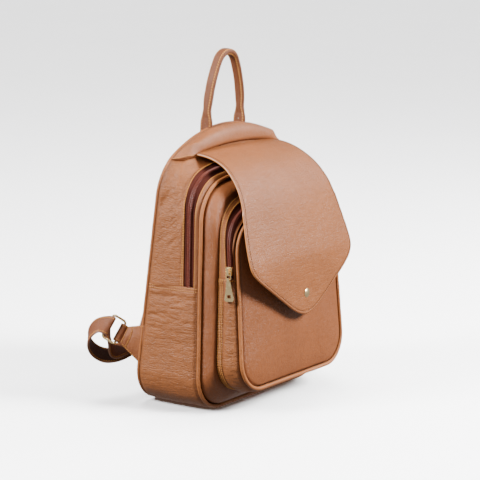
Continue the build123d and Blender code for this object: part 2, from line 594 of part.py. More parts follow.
def main():
    main_bag()
    front_pocket()
    flap()
    handle()
    strap_bar = ring_and_tab()
    straps(strap_bar)
    zip_slider("pocket_zip", POCKET_SLIDER.location)
    zip_slider("main_zip", MAIN_SLIDER.location)
    os.makedirs("parts", exist_ok=True)
    for name, shape in parts.items():
        print(name, len(shape.solids()), round(shape.volume), shape.is_valid)
        export_step(shape, "parts/" + name + ".step")


main()
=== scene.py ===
import math

import bpy
import numpy as np
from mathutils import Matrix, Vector, noise


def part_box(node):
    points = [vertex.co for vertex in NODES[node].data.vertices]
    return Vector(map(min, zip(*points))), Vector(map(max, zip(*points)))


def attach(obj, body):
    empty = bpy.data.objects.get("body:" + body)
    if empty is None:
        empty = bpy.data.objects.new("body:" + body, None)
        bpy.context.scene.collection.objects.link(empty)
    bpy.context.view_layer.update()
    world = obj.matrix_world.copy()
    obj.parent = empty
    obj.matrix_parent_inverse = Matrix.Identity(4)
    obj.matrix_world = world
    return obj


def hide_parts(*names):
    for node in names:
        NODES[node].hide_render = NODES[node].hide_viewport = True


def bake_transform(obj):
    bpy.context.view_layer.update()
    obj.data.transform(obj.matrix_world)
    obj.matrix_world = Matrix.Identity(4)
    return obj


# Leather backpack. Lengths are in millimetres until a mesh is made, in the frame of the CAD
# model: X across the back, -Y towards the front flap, +Z up, origin on the ground. Every grid
# is worked out from a few outlines, then puffed, creased and grooved along its own normals.

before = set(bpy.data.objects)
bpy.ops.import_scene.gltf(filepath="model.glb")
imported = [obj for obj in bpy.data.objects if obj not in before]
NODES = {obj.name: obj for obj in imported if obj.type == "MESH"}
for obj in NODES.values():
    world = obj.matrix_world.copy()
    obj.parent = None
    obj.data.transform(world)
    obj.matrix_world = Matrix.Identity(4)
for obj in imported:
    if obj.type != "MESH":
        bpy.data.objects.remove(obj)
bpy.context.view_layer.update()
MM = 0.001


def low(node):
    return np.array(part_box(node)[0]) / MM


def high(node):
    return np.array(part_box(node)[1]) / MM


# ---- driving dimensions ------------------------------------------------------------------
FAR = 99.0                       # stands for a distance that is nowhere near an edge
PIPE_R = 2.4
PIPE_STEP = 2.2
SEAM = 5.0
WALL_THICK = 2.2
PANEL_THICK = 2.4
BACK_PANEL_THICK = 2.6
YOKE_THICK = 3.6
TAPE_THICK = 0.8
TAB_THICK = 4.0
GUSSET_ROWS = (2.6, 6.0)         # rows of stitches, measured in from the leather's edge
ZIP_ROWS = (2.4, 5.4)
POCKET_ROWS = (2.2, 4.6, 7.0)
TAB_ROWS = (2.2, 9.5)
PATCH_ROW = 3.0
FLAP_ROW = 3.6
YOKE_PUFF = 9.0
ROOT_HOLLOW = 3.4                # how far the side leather sinks in beside the flap's root
CREST_RISE = 4.2
MIDDLE = (0.0, 0.0, 150.0)       # a point inside the bag: outer faces point away from it
BACK_FOOT_Y = 56.0
BACK_LEAN = 0.115
POCKET_FOOT_Y = -95.6
POCKET_LEAN = -0.07

# half width low down, half width and height of the straight side's top, base, top, and the
# radii of the base corner, the shoulder and the top arc
BACK_OUTLINE = (139.0, 131.0, 245.0, SEAM * BACK_LEAN, 343.0, 50.0, 62.0, 195.0)
MID_OUTLINE = (134.0, 128.0, 250.0, 0.0, 313.0, 44.0, 42.0, 500.0)
FRONT_OUTLINE = (133.0, 126.0, 235.0, 0.0, 291.0, 45.0, 52.0, 500.0)
PANEL_FACE_OUTLINE = (122.0, 116.0, 232.0, 20.0, 280.0, 43.0, 47.0, 250.0)
POCKET_BASE_OUTLINE = (118.0, 112.0, 232.0, 24.0, 276.0, 42.0, 45.0, 250.0)
POCKET_OUTLINE = (112.5, 107.5, 215.0, 27.0, 254.0, 40.0, 42.0, 190.0)

YOKE_SEAM_Y = low("yoke")[1]
FRONT_SEAM_Y = low("front_piping")[1]
ZIP_REAR_Y = low("upper_gusset")[1]
ZIP_FRONT_Y = high("front_gusset_strip")[1]
LOWER_TOP = high("lower_gusset")[2]
YOKE_SIDE_Z = (305.5, 304.5)     # the yoke's side seam: height at the back and at the front
PANEL_FACE_Y = low("main_front_panel")[1]
POCKET_LOWER_TOP = high("pocket_lower_gusset")[2]
POCKET_TAPE = (15.5, 7.5)        # the pocket zip's edges, measured back from the pocket's front
TAPE_RECESS = 1.6
COIL_HALF = 2.6
COIL_PITCH = 2.0

FLAP_THICK = 3.0
FLAP_ARC_R = 87.0
FLAP_ARC_Z = 221.5
FLAP_ROOT_CROWN = 0.8
FLAP_ARC_TURN = 72.0
FLAP_CROWN = 8.0
FLAP_HALF = high("flap")[0]
# right half of the flap as (half width, height) from its root to its tip, with its corners still sharp
FLAP_OUTLINE = [(84, 330), (85, 302), (90, 289), (98, 257), (108, 214), (111, 187), (108, 176),
                (97, 165), (61, 141), (22, 115.5), (8, 111.5), (0, 110.8)]
# below its turn the flap hangs along these: y, height and how much of the crown is left
FLAP_DROP = [(-103.0, 186.0, 0.7), (-107.0, 166.0, 0.3), (-109.0, 140.0, 0.0), (-109.5, 105.0, 0.0)]

HANDLE_LEG_X = 35.0
HANDLE_Y = 18.5
HANDLE_FOOT_Z = 340.6
HANDLE_BEND_Z = 348.0
HANDLE_LEAN = math.tan(math.radians(3.5))
HANDLE_TOP_R = 20.0
HANDLE_TOP_Z = 428.5
HANDLE_WIDE = 13.0
HANDLE_THICK = 7.5
HANDLE_FOOT_HALF = 9.0           # half the handle's width and thickness where its feet are sewn flat
HANDLE_FOOT_THIN = 2.6

STRAP_WIDE = 25.0
STRAP_THICK = 2.4
STRAP_ROW = 2.6
RETURN_GAP = 5.0                 # from the strap to its return, at the glide
RING_BAR_AT = np.array([-145.0, 69.5, 89.5])
RING_BAR_AXIS = np.array([0.55, -0.18, 0.815]) / np.linalg.norm([0.55, -0.18, 0.815])
RING_ACROSS = np.array([0.716, -0.400, -0.572])
RING_SHORT = 20.0
LOOP_WIDE = 23.0
LOOP_R = 4.6
TAB_LOW = 50.0
TAB_HIGH = 102.0
TURN_AT = np.array([-148.5, 87.0, 79.5])
TURN_ALONG = np.array([0.585, -0.811, 0.0])
TURN_UP = np.array([-0.438, -0.316, 0.838])
TURN_R1 = 24.0
TURN_R2 = 29.0
FOLD_R = 4.4
GLIDE_AT = np.array([-64.0, 62.5, 161.0])
GLIDE_ALONG = np.array([8.0, -5.0, 26.0]) / np.linalg.norm([8.0, -5.0, 26.0])
GLIDE_OUT = np.array([0.0, 26.0, 5.0]) / np.linalg.norm([0.0, 26.0, 5.0])


# ---- small maths -------------------------------------------------------------------------
def unit(v):
    v = np.asarray(v, float)
    return v / np.maximum(np.linalg.norm(v, axis=-1, keepdims=True), 1e-9)


def mix(a, b, t):
    return a + (b - a) * t


def ease(t):
    t = np.clip(t, 0.0, 1.0)
    return t * t * (3 - 2 * t)


def lengths(points):
    steps = np.linalg.norm(np.diff(points, axis=0), axis=1)
    return np.concatenate([[0.0], np.cumsum(steps)])


def at_lengths(points, wanted):
    """Points (and anything stored beside them) at these lengths along a line."""
    along = lengths(points[:, :3])
    return np.stack([np.interp(wanted, along, points[:, k]) for k in range(points.shape[1])], 1)


def smooth_line(points, steps=12):
    """Catmull-Rom curve through the rows of points."""
    points = np.asarray(points, float)
    knots = np.concatenate([[2 * points[0] - points[1]], points, [2 * points[-1] - points[-2]]])
    result = []
    for p0, p1, p2, p3 in zip(knots, knots[1:], knots[2:], knots[3:]):
        for t in np.arange(steps) / steps:
            cubic = 2 * p1 + (p2 - p0) * t + (2 * p0 - 5 * p1 + 4 * p2 - p3) * t ** 2
            result.append(0.5 * (cubic + (3 * p1 - p0 - 3 * p2 + p3) * t ** 3))
    return np.array(result + [points[-1]])


def round_corners(points, rounds=3):
    """Chaikin's corner cutting, with the ends kept."""
    points = np.asarray(points, float)
    for _ in range(rounds):
        a, b = points[:-1], points[1:]
        cut = np.stack([0.75 * a + 0.25 * b, 0.25 * a + 0.75 * b], 1).reshape(-1, points.shape[1])
        points = np.concatenate([points[:1], cut, points[-1:]])
    return points


def spaced(size, step, fine=(0.5, 1.1, 1.8, 2.6, 3.6, 5.0), start=True, end=True):
    """Shares of a length, about a step apart, with extra ones close to its ends."""
    inner_from = fine[-1] if start else 0.0
    inner_to = size - fine[-1] if end else size
    count = max(2, int(round((inner_to - inner_from) / step)))
    values = list(np.linspace(inner_from, inner_to, count + 1))
    if start:
        values = [0.0] + list(fine[:-1]) + values
    if end:
        values = values + [size - f for f in reversed(fine[:-1])] + [size]
    return np.array(values) / size


def softened(rows, size):
    """Rows of numbers averaged with their neighbours, except close to the two ends."""
    kernel = np.hanning(size) / np.hanning(size).sum()
    reach = size // 2
    result = rows.copy()
    for column in range(rows.shape[1]):
        result[reach:-reach, column] = np.convolve(rows[:, column], kernel, "valid")
    return result


def rough(points, scale, seed=0.0, stretch=(1.0, 1.0, 1.0)):
    """Smooth noise from -1 to 1 at each point; scale is the size of its lumps."""
    flat = points.reshape(-1, 3) / (np.array(stretch) * scale) + seed
    values = [noise.noise(Vector(p)) for p in flat]
    return np.array(values).reshape(points.shape[:-1])


# ---- outlines ----------------------------------------------------------------------------
def half_outline(outline, inset=0.0):
    """The right half of an outline, from the middle of its base to the middle of its top."""
    low_x, high_x, high_at, base, top, r_base, r_shoulder, r_top = outline
    side = unit([high_x - low_x, high_at - base - r_base])
    inward = np.array([-side[1], side[0]])
    corner_x = low_x + inward[0] * r_base - side[0] * inward[1] * r_base / side[1]
    hub = np.array([0.0, top - r_top])
    start = np.array([low_x, base + r_base]) + inward * r_shoulder - hub
    along = start @ side
    reach = -along + math.sqrt(along ** 2 - start @ start + (r_top - r_shoulder) ** 2)
    shoulder = hub + start + side * reach
    side_angle = math.atan2(-inward[1], -inward[0])
    top_angle = math.atan2(shoulder[1] - hub[1], shoulder[0] - hub[0])
    arcs = []
    for centre, radius, first, last in (
        ((corner_x, base + r_base), r_base, -math.pi / 2, side_angle),
        (shoulder, r_shoulder, side_angle, top_angle),
        (hub, r_top, top_angle, math.pi / 2),
    ):
        angles = np.linspace(first, last, 40)
        circle = np.stack([np.cos(angles), np.sin(angles)], 1)
        arcs.append(np.array(centre) + (radius - inset) * circle)
    shares = np.linspace(0, 1, 24)[:, None]
    base_line = mix(np.array([0.0, base + inset]), arcs[0][0], shares)[:-1]
    side_line = mix(arcs[0][-1], arcs[1][0], shares)[1:-1]
    return np.concatenate([base_line, arcs[0], side_line, arcs[1][:-1], arcs[2]])


def on_plane(points, foot_y, lean=0.0, forward=0.0):
    """Outline points on a plane that meets the ground at foot_y and leans forward with height."""
    angle = math.atan(lean)
    y = foot_y - points[:, 1] * math.sin(angle) - forward * math.cos(angle)
    z = points[:, 1] * math.cos(angle) - forward * math.sin(angle)
    return np.stack([points[:, 0], y, z], 1)


def back_line(inset=0.0, forward=SEAM):
    """A line round the back panel, this far inside its outline and in front of it."""
    return on_plane(half_outline(BACK_OUTLINE, inset), BACK_FOOT_Y, BACK_LEAN, forward)


def front_line(y, inset=0.0):
    """A line round the main bag at one distance forward, between the middle and front outlines."""
    share = (y - YOKE_SEAM_Y) / (FRONT_SEAM_Y + SEAM - YOKE_SEAM_Y)
    points = mix(half_outline(MID_OUTLINE, inset), half_outline(FRONT_OUTLINE, inset), share)
    return on_plane(points, y)


def pocket_line(behind, inset=0.0):
    """A line round the pocket, this far behind its front plane; None is its rear seam."""
    rear = on_plane(half_outline(POCKET_BASE_OUTLINE, inset), PANEL_FACE_Y - 0.3)
    front = on_plane(half_outline(POCKET_OUTLINE, inset), POCKET_FOOT_Y, POCKET_LEAN, -SEAM)
    if behind is None:
        return rear
    angle = math.atan(POCKET_LEAN)
    normal = np.array([0.0, -math.cos(angle), -math.sin(angle)])
    depth = -(rear - np.array([0.0, POCKET_FOOT_Y, 0.0])) @ normal
    share = (depth - behind) / (depth - SEAM)
    return mix(rear, front, share[:, None])


def stretch_of(line, z_from, z_to, shares):
    """The part of a half line between two heights, resampled; None stands for its end."""
    along = lengths(line)
    start = 0.0 if z_from is None else np.interp(z_from, line[:, 2], along)
    end = along[-1] if z_to is None else np.interp(z_to, line[:, 2], along)
    return at_lengths(line, mix(start, end, shares))


def half_patch(lines, columns, z_from, z_to, shares):
    """A grid between lines; columns are the shares between each line and the next."""
    grid = []
    for (line_a, line_b), between in zip(zip(lines, lines[1:]), columns):
        for t in between:
            at = len(grid)
            first = z_from(at) if callable(z_from) else z_from
            last = z_to(at) if callable(z_to) else z_to
            grid.append(stretch_of(mix(line_a, line_b, t), first, last, shares))
    return np.stack(grid, 1)


def flipped(grid):
    return grid * np.array([-1.0, 1.0, 1.0])


def on_side(mirror, *grids):
    """The same grids, mirrored for the right side."""
    return [flipped(grid) if mirror else grid for grid in grids]


def over_base(half):
    """Both sides of a half grid that starts at the middle of the base."""
    return np.concatenate([flipped(half)[:0:-1], half])


def over_top(half):
    """Both sides of a half grid that ends at the middle of the top."""
    return np.concatenate([flipped(half), half[-2::-1]])


def closed(half):
    """A closed loop from a half line."""
    return np.concatenate([half, flipped(half)[-2:0:-1]])


# ---- grids -------------------------------------------------------------------------------
def grid_normals(grid, inside=MIDDLE, wrap=False):
    if wrap:
        ahead, behind = np.roll(grid, -1, 0), np.roll(grid, 1, 0)
        down = ahead - behind
    else:
        down = np.gradient(grid, axis=0)
    across = np.gradient(grid, axis=1)
    normal = unit(np.cross(down, across))
    outward = (normal * (grid - np.array(inside))).sum(-1).mean()
    return normal if outward > 0 else -normal


def border_distances(grid):
    """How far each point is from the first and last row, and the first and last column."""
    rows = np.linalg.norm(np.diff(grid, axis=0), axis=2)
    rows = np.concatenate([np.zeros((1, grid.shape[1])), np.cumsum(rows, 0)])
    columns = np.linalg.norm(np.diff(grid, axis=1), axis=2)
    columns = np.concatenate([np.zeros((grid.shape[0], 1)), np.cumsum(columns, 1)], 1)
    return rows, rows[-1:] - rows, columns, columns[:, -1:] - columns


def rounded(distance, radius):
    """How far a rounded edge drops, at a distance from it."""
    t = np.clip(1 - distance / radius, 0, 1)
    return radius * (1 - np.sqrt(1 - t * t))


def close_to(distance, reach):
    """1 at an edge, easing to 0 at this reach from it."""
    return 1 - ease(distance / reach)


def groove(distance, at, width=1.0):
    return np.exp(-((distance - at) / width) ** 2)


def inside_border(grid, normals, border, distance):
    """Points and normals along a border ("top", "bottom", "left" or "right"), this far inside."""
    both = np.concatenate([grid, normals], 2)
    if border == "bottom":
        both = both[::-1]
    if border == "left":
        both = both.transpose(1, 0, 2)
    if border == "right":
        both = both.transpose(1, 0, 2)[::-1]
    found = [at_lengths(both[:, k], np.array([distance]))[0] for k in range(both.shape[1])]
    found = np.array(found)
    return found[:, :3], unit(found[:, 3:])


# ---- pieces ------------------------------------------------------------------------------
def into_scene(name, data):
    thing = bpy.data.objects.new(name, data)
    bpy.context.scene.collection.objects.link(thing)
    return thing


# a stitch's rings: place along it, radius and rise, as shares of its length and thickness
STITCH_RINGS = ((-0.5, 0.4, -0.5), (-0.36, 0.9, 0.0), (0.0, 1.0, 0.15), (0.36, 0.9, 0.0), (0.5, 0.4, -0.5))
STITCH_SIDES = 6
THREAD_R = 0.48


class Piece:
    """The faces of one visible piece, in millimetres."""

    def __init__(self):
        self.points = []
        self.faces = []
        self.slots = []
        self.edges = []
        self.count = 0

    def add(self, points, faces, slot=0, edge=FAR):
        points = np.asarray(points, float).reshape(-1, 3)
        faces = np.asarray(faces) + self.count
        self.points.append(points)
        self.faces.extend(faces.tolist())
        self.slots.extend(np.broadcast_to(slot, len(faces)).tolist())
        self.edges.append(np.broadcast_to(np.asarray(edge, float).ravel(), len(points)))
        self.count += len(points)

    def shell(self, grid, thick, lift=0.0, drop=0.0, keep=None, wrap=False, edge=FAR,
              slots=(0, 0, 0), inside=MIDDLE):
        """A sheet with its outer face on the grid; slots are the outer, inner and rim materials."""
        normal = grid_normals(grid, inside, wrap)
        lift = np.broadcast_to(lift, grid.shape[:2])[..., None]
        drop = np.broadcast_to(drop, grid.shape[:2])[..., None]
        outer = grid + normal * (lift - drop)
        inner = grid + normal * (lift - thick + drop)
        rows, columns = grid.shape[:2]
        index = np.arange(rows * columns).reshape(rows, columns)
        nxt = np.roll(index, -1, 0) if wrap else index[1:]
        here = index if wrap else index[:-1]
        quads = np.stack([here[:, :-1], nxt[:, :-1], nxt[:, 1:], here[:, 1:]], -1)
        quads = quads[keep] if keep is not None else quads.reshape(-1, 4)
        a, b, c = (grid.reshape(-1, 3)[quads[:, k]] for k in (0, 1, 2))
        facing = (np.cross(b - a, c - b) * normal.reshape(-1, 3)[quads[:, 0]]).sum()
        if facing < 0:
            quads = quads[:, ::-1]
        total = rows * columns
        rim = self.rim(quads, total)
        self.add(np.concatenate([outer.reshape(-1, 3), inner.reshape(-1, 3)]),
                 np.concatenate([quads, quads[:, ::-1] + total, rim]),
                 np.repeat(slots, (len(quads), len(quads), len(rim))),
                 np.tile(np.broadcast_to(edge, grid.shape[:2]).ravel(), 2))
        return outer, normal

    @staticmethod
    def rim(quads, total):
        """Faces between the open borders of the outer sheet and the inner one."""
        pairs = np.concatenate([quads[:, [k, (k + 1) % 4]] for k in range(4)])
        keys = np.sort(pairs, 1)
        order = keys[:, 0] * (total + 1) + keys[:, 1]
        first, counts = np.unique(order, return_index=True, return_counts=True)[1:]
        open_pairs = pairs[first[counts == 1]]
        u, v = open_pairs[:, 0], open_pairs[:, 1]
        return np.stack([v, u, u + total, v + total], 1)

    def sweep(self, line, side, up, section, loop=False, slots=0, edge=FAR):
        """A tube along a line; the section holds offsets along side and up, one or one a station."""
        section = np.asarray(section, float)
        if section.ndim == 2:
            section = np.broadcast_to(section, (len(line),) + section.shape)
        grid = line[:, None] + side[:, None] * section[..., :1] + up[:, None] * section[..., 1:2]
        rows, columns = grid.shape[:2]
        index = np.arange(rows * columns).reshape(rows, columns)
        here = index if loop else index[:-1]
        nxt = np.roll(index, -1, 0) if loop else index[1:]
        quads = np.stack([here, nxt, np.roll(nxt, -1, 1), np.roll(here, -1, 1)], -1)
        face_slots = np.broadcast_to(slots, (quads.shape[0], columns)).ravel()
        quads = quads.reshape(-1, 4)
        middle = grid.mean(1)
        a, b, c = (grid.reshape(-1, 3)[quads[:, k]] for k in (0, 1, 2))
        from_middle = a - middle[quads[:, 0] // columns]
        if (np.cross(b - a, c - b) * from_middle).sum() < 0:
            quads = quads[:, ::-1]
        self.add(grid, quads, face_slots, np.broadcast_to(edge, (rows, columns)))
        if not loop:
            self.cap(grid[0], grid[0].mean(0) - grid[1].mean(0), face_slots[0])
            self.cap(grid[-1], grid[-1].mean(0) - grid[-2].mean(0), face_slots[0])
        return grid

    def cap(self, ring, outward, slot):
        """Closes the end of a tube with a fan that bulges a little."""
        size = len(ring)
        normal = unit(outward)
        points = np.concatenate([ring, [ring.mean(0) + normal * 0.15]])
        around = np.arange(size)
        faces = np.stack([around, np.roll(around, -1), np.full(size, size)], 1)
        first = np.cross(points[faces[0, 1]] - points[faces[0, 0]], points[size] - points[faces[0, 0]])
        if first @ normal < 0:
            faces = faces[:, ::-1]
        self.add(points, faces, slot)

    def beads(self, centres, along, up, long, radius, slot, flat=1.0):
        """Small rounded pegs: stitches, or the teeth of a zip."""
        angles = np.arange(STITCH_SIDES) * math.tau / STITCH_SIDES
        shape = [(t, r * math.cos(a), r * math.sin(a) * flat + rise)
                 for t, r, rise in STITCH_RINGS for a in angles]
        shape = np.array(shape)
        up = unit(up - along * (up * along).sum(-1, keepdims=True))
        across = np.cross(up, along)
        points = centres[:, None] + along[:, None] * (shape[:, 0] * long)[None, :, None]
        points = points + across[:, None] * (shape[:, 1] * radius)[None, :, None]
        points = points + up[:, None] * (shape[:, 2] * radius)[None, :, None]
        rings = np.arange(len(STITCH_RINGS) * STITCH_SIDES).reshape(-1, STITCH_SIDES)
        quads = np.stack([rings[:-1], np.roll(rings[:-1], -1, 1), np.roll(rings[1:], -1, 1), rings[1:]], -1)
        quads = quads.reshape(-1, 4)[:, ::-1]
        starts = (np.arange(len(centres)) * shape.shape[0])[:, None, None]
        self.add(points, (quads[None] + starts).reshape(-1, 4), slot)
        for ring, step in ((rings[0], 1), (rings[-1], -1)):
            ends = (ring[::step][None] + starts[..., 0]).reshape(-1, STITCH_SIDES)
            self.faces.extend((ends + self.count - points.size // 3).tolist())
            self.slots.extend([slot] * len(ends))

    def stitches(self, line, up, slot=1, pitch=3.0, sink=0.08, slant=0.12, loop=False):
        """A row of stitches along a line that lies on the leather."""
        if loop:
            line, up = np.concatenate([line, line[:1]]), np.concatenate([up, up[:1]])
        both = np.concatenate([line, up], 1)
        total = lengths(line)[-1]
        count = max(1, int(total / pitch))
        wanted = (np.arange(count) + 0.5) * total / count
        here = at_lengths(both, wanted)
        ahead = at_lengths(both, np.minimum(wanted + 0.4, total))
        behind = at_lengths(both, np.maximum(wanted - 0.4, 0))
        normal = unit(here[:, 3:])
        along = unit(ahead[:, :3] - behind[:, :3])
        along = unit(along + np.cross(normal, along) * slant)
        centres = here[:, :3] + normal * (THREAD_R * 0.35 - sink)
        self.beads(centres, along, normal, pitch * 0.78, THREAD_R, slot)

    def make(self, name, materials, replaces, body="root", sharp=55.0):
        mesh = bpy.data.meshes.new(name)
        mesh.from_pydata((np.concatenate(self.points) * MM).tolist(), [], self.faces)
        mesh.polygons.foreach_set("material_index", self.slots)
        mesh.polygons.foreach_set("use_smooth", [True] * len(self.faces))
        attribute = mesh.attributes.new("edge", "FLOAT", "POINT")
        attribute.data.foreach_set("value", np.concatenate(self.edges).astype(np.float32))
        mesh.update()
        mesh.set_sharp_from_angle(angle=math.radians(sharp))
        for material in materials:
            mesh.materials.append(material)
        piece = into_scene(name, mesh)
        if body:
            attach(piece, body)
        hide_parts(*replaces)
        return piece

    def sew(self, outer, normal, rows, trim=(None, None), pitch=3.0):
        """Rows of stitches along borders of a sheet: each row is a border and how far inside it runs."""
        for border, distance in rows:
            line, up = inside_border(outer, normal, border, distance)
            self.stitches(line[trim[0]:trim[1]], up[trim[0]:trim[1]], pitch=pitch)


# ---- materials ---------------------------------------------------------------------------
def linear(red, green, blue):
    """A colour given as sRGB from 0 to 255, in linear light."""
    def channel(value):
        share = value / 255
        return share / 12.92 if share <= 0.04045 else ((share + 0.055) / 1.055) ** 2.4
    return channel(red), channel(green), channel(blue), 1.0


class Nodes:
    """A material's node tree, with short calls for the nodes used here."""

    def __init__(self, name):
        self.material = bpy.data.materials.new(name)
        self.material.use_nodes = True
        self.tree = self.material.node_tree
        self.shader = self.tree.nodes["Principled BSDF"]
        self.place = self.node("ShaderNodeTexCoord", "Object")

    def value(self, target, source):
        """Gives an input a number or a colour, or links another node's output to it."""
        if isinstance(source, (int, float, tuple)):
            target.default_value = source
        else:
            self.tree.links.new(source, target)

    def node(self, kind, output, inputs=None, **settings):
        """Adds a node with these inputs and settings, and gives back one of its outputs."""
        made = self.tree.nodes.new(kind)
        for key, value in settings.items():
            setattr(made, key, value)
        for key, source in (inputs or {}).items():
            self.value(made.inputs[key], source)
        return made.outputs[output]

    def texture(self, kind, output, stretch, inputs, **settings):
        """A texture in the object's own coordinates, stretched along its axes."""
        place = self.node("ShaderNodeMapping", "Vector", {"Vector": self.place, "Scale": stretch})
        return self.node(kind, output, {"Vector": place, **inputs}, **settings)

    def noise(self, scale, detail=4.0, roughness=0.55, stretch=(1, 1, 1)):
        return self.texture("ShaderNodeTexNoise", "Fac", stretch,
                            {"Scale": scale, "Detail": detail, "Roughness": roughness})

    def patches(self, low, high, scale, detail=4.0):
        """Soft patches, with values from low to high."""
        return self.ranged(self.noise(scale, detail), 0.3, 0.7, low, high)

    def cells(self, scale, feature="DISTANCE_TO_EDGE", stretch=(1, 1, 1)):
        return self.texture("ShaderNodeTexVoronoi", "Distance", stretch, {"Scale": scale}, feature=feature)

    def wave(self, scale, direction, distortion):
        return self.texture("ShaderNodeTexWave", "Fac", (1, 1, 1),
                            {"Scale": scale, "Distortion": distortion}, bands_direction=direction)

    def ranged(self, source, from_low, from_high, to_low, to_high):
        limits = {"From Min": from_low, "From Max": from_high, "To Min": to_low, "To Max": to_high}
        return self.node("ShaderNodeMapRange", "Result", {"Value": source, **limits})

    def math(self, operation, a, b):
        return self.node("ShaderNodeMath", 0, {0: a, 1: b}, operation=operation)

    def blend(self, share, a, b):
        """Colour a where share is 0, colour b where it is 1."""
        return self.node("ShaderNodeMix", 2, {0: share, 6: a, 7: b}, data_type="RGBA")

    def edge(self):
        """Distance in millimetres from the piece's nearest finished edge."""
        return self.node("ShaderNodeAttribute", "Fac", attribute_name="edge")

    def bump(self, height, distance, strength, under=None):
        inputs = {"Strength": strength, "Distance": distance, "Height": height}
        if under is not None:
            inputs["Normal"] = under
        return self.node("ShaderNodeBump", "Normal", inputs)

    def finish(self, colour, roughness, normal=None, **numbers):
        self.value(self.shader.inputs["Base Color"], colour)
        self.value(self.shader.inputs["Roughness"], roughness)
        if normal is not None:
            self.value(self.shader.inputs["Normal"], normal)
        for key, number in numbers.items():
            self.shader.inputs[key.replace("_", " ")].default_value = number
        return self.material


def shade(colour, factor):
    return tuple(c * factor for c in colour[:3]) + (1.0,)


def leather(name, colour, roughness=0.46, grain=1.0, seam_dark_and_shade=0.75, stretch=(1, 1, 1), creased=0.0):
    """Finished cowhide: mottled colour, fine pebble grain, darker near seams and cut edges (partly their
    own tone, partly painted shade), creased across with the crease lines painted darker as painted shade.
    """
    n = Nodes(name)
    body = n.blend(n.patches(0.0, 1.0, 14, 3.0), shade(colour, 0.86), shade(colour, 1.08))
    mottle = n.ranged(n.noise(160, 5.0, 0.65, stretch), 0.35, 0.7, 0.0, 0.7)
    body = n.blend(mottle, body, shade(colour, 0.76))
    pebbles = n.cells(620 / grain, "DISTANCE_TO_EDGE", stretch)
    creases = n.ranged(pebbles, 0.0, 0.16, 1.0, 0.0)
    body = n.blend(n.math("MULTIPLY", creases, 0.3), body, shade(colour, 0.55))
    # Darker out to 4.5 mm from seams and cut edges: partly the leather's own darker seams, partly painted
    # shade in the seams.
    seam = n.ranged(n.edge(), 0.0, 4.5, 1.0, 0.0)
    body = n.blend(n.math("MULTIPLY", n.math("POWER", seam, 1.6), seam_dark_and_shade), body, shade(colour, 0.42))
    gloss = n.patches(roughness - 0.05, roughness + 0.07, 90)
    gloss = n.math("ADD", gloss, n.math("MULTIPLY", creases, 0.1))
    wide = n.bump(n.noise(210, 4.0, 0.6, stretch), 0.0014, 0.42)
    relief = n.bump(n.ranged(pebbles, 0.0, 0.28, 0.0, 1.0), 0.00028 * grain, 0.75, wide)
    fine = n.bump(n.noise(2600, 3.0), 0.00006, 0.4, relief)
    if creased:
        swing = n.ranged(n.noise(95, 3.0, 0.5, (0.42, 0.42, 1.9)), 0.0, 1.0, -1.0, 1.0)
        ridges = n.ranged(n.math("ABSOLUTE", swing, 0.0), 0.0, 0.14, 0.0, 1.0)
        # The crease lines are painted darker: painted shade in the creases, beside their bump.
        body = n.blend(n.ranged(ridges, 0.0, 1.0, 0.28 * creased, 0.0), body, shade(colour, 0.55))
        fine = n.bump(ridges, 0.0007 * creased, 0.6, fine)
    return n.finish(body, gloss, fine, Specular_IOR_Level=0.3)


def edge_paint(name, colour):
    """The painted cut edge of leather: smooth, a little glossy, slightly uneven."""
    n = Nodes(name)
    body = n.blend(n.patches(0.0, 1.0, 240, 3.0), shade(colour, 0.88), shade(colour, 1.1))
    return n.finish(body, n.patches(0.36, 0.5, 120), n.bump(n.noise(500, 2.0), 0.0003, 0.35))


def thread(name, colour):
    """Waxed thread: two plies twisted round each other."""
    n = Nodes(name)
    ply = n.wave(1400, "DIAGONAL", 1.0)
    body = n.blend(n.ranged(ply, 0.0, 1.0, 0.0, 1.0), shade(colour, 0.72), shade(colour, 1.08))
    return n.finish(body, n.patches(0.6, 0.75, 300), n.bump(ply, 0.0002, 0.6), Specular_IOR_Level=0.2)


def woven(name, colour, pitch=1.0, roughness=0.8):
    """A plain weave: warp and weft ridges at right angles, with slightly uneven yarn."""
    n = Nodes(name)
    warp, weft, depth = (n.wave(260 / pitch, axis, 0.6) for axis in "ZXY")
    weave = n.math("MAXIMUM", n.math("MULTIPLY", warp, weft), n.math("MULTIPLY", warp, depth))
    uneven = n.patches(0.0, 1.0, 120)
    body = n.blend(weave, shade(colour, 0.55), shade(colour, 1.15))
    body = n.blend(n.math("MULTIPLY", uneven, 0.3), body, shade(colour, 0.8))
    relief = n.bump(weave, 0.0004 * pitch, 0.7)
    gloss = n.ranged(uneven, 0, 1, roughness - 0.06, roughness + 0.06)
    return n.finish(body, gloss, relief, Specular_IOR_Level=0.15)


def nylon(name, colour):
    """The coil of a zip: moulded nylon, paler in worn patches."""
    n = Nodes(name)
    worn = n.ranged(n.noise(420, 3.0), 0.35, 0.65, 0.0, 1.0)
    body = n.blend(worn, shade(colour, 0.72), shade(colour, 1.2))
    return n.finish(body, n.patches(0.34, 0.5, 200), n.bump(n.noise(900), 0.0001, 0.4))


def metal(name, colour, roughness=0.2):
    """Pale plated brass: fine polishing lines, small scuffs and faint tarnish."""
    n = Nodes(name)
    tarnish = n.ranged(n.noise(60, 5.0, 0.6), 0.35, 0.75, 0.0, 0.4)
    body = n.blend(tarnish, colour, shade(colour, 0.78))
    lines = n.noise(900, 2.0, 0.5, (0.15, 1.0, 1.0))
    gloss = n.ranged(n.noise(140, 5.0), 0.3, 0.75, roughness - 0.05, roughness + 0.12)
    return n.finish(body, gloss, n.bump(lines, 0.00006, 0.25), Metallic=1.0)


def foam(name, colour):
    """Open foam: small dark holes."""
    n = Nodes(name)
    holes = n.cells(900, "F1")
    body = n.blend(n.ranged(holes, 0.0, 0.6, 0.0, 1.0), shade(colour, 0.6), colour)
    return n.finish(body, n.patches(0.82, 0.95, 100), n.bump(holes, 0.0004, 0.6))


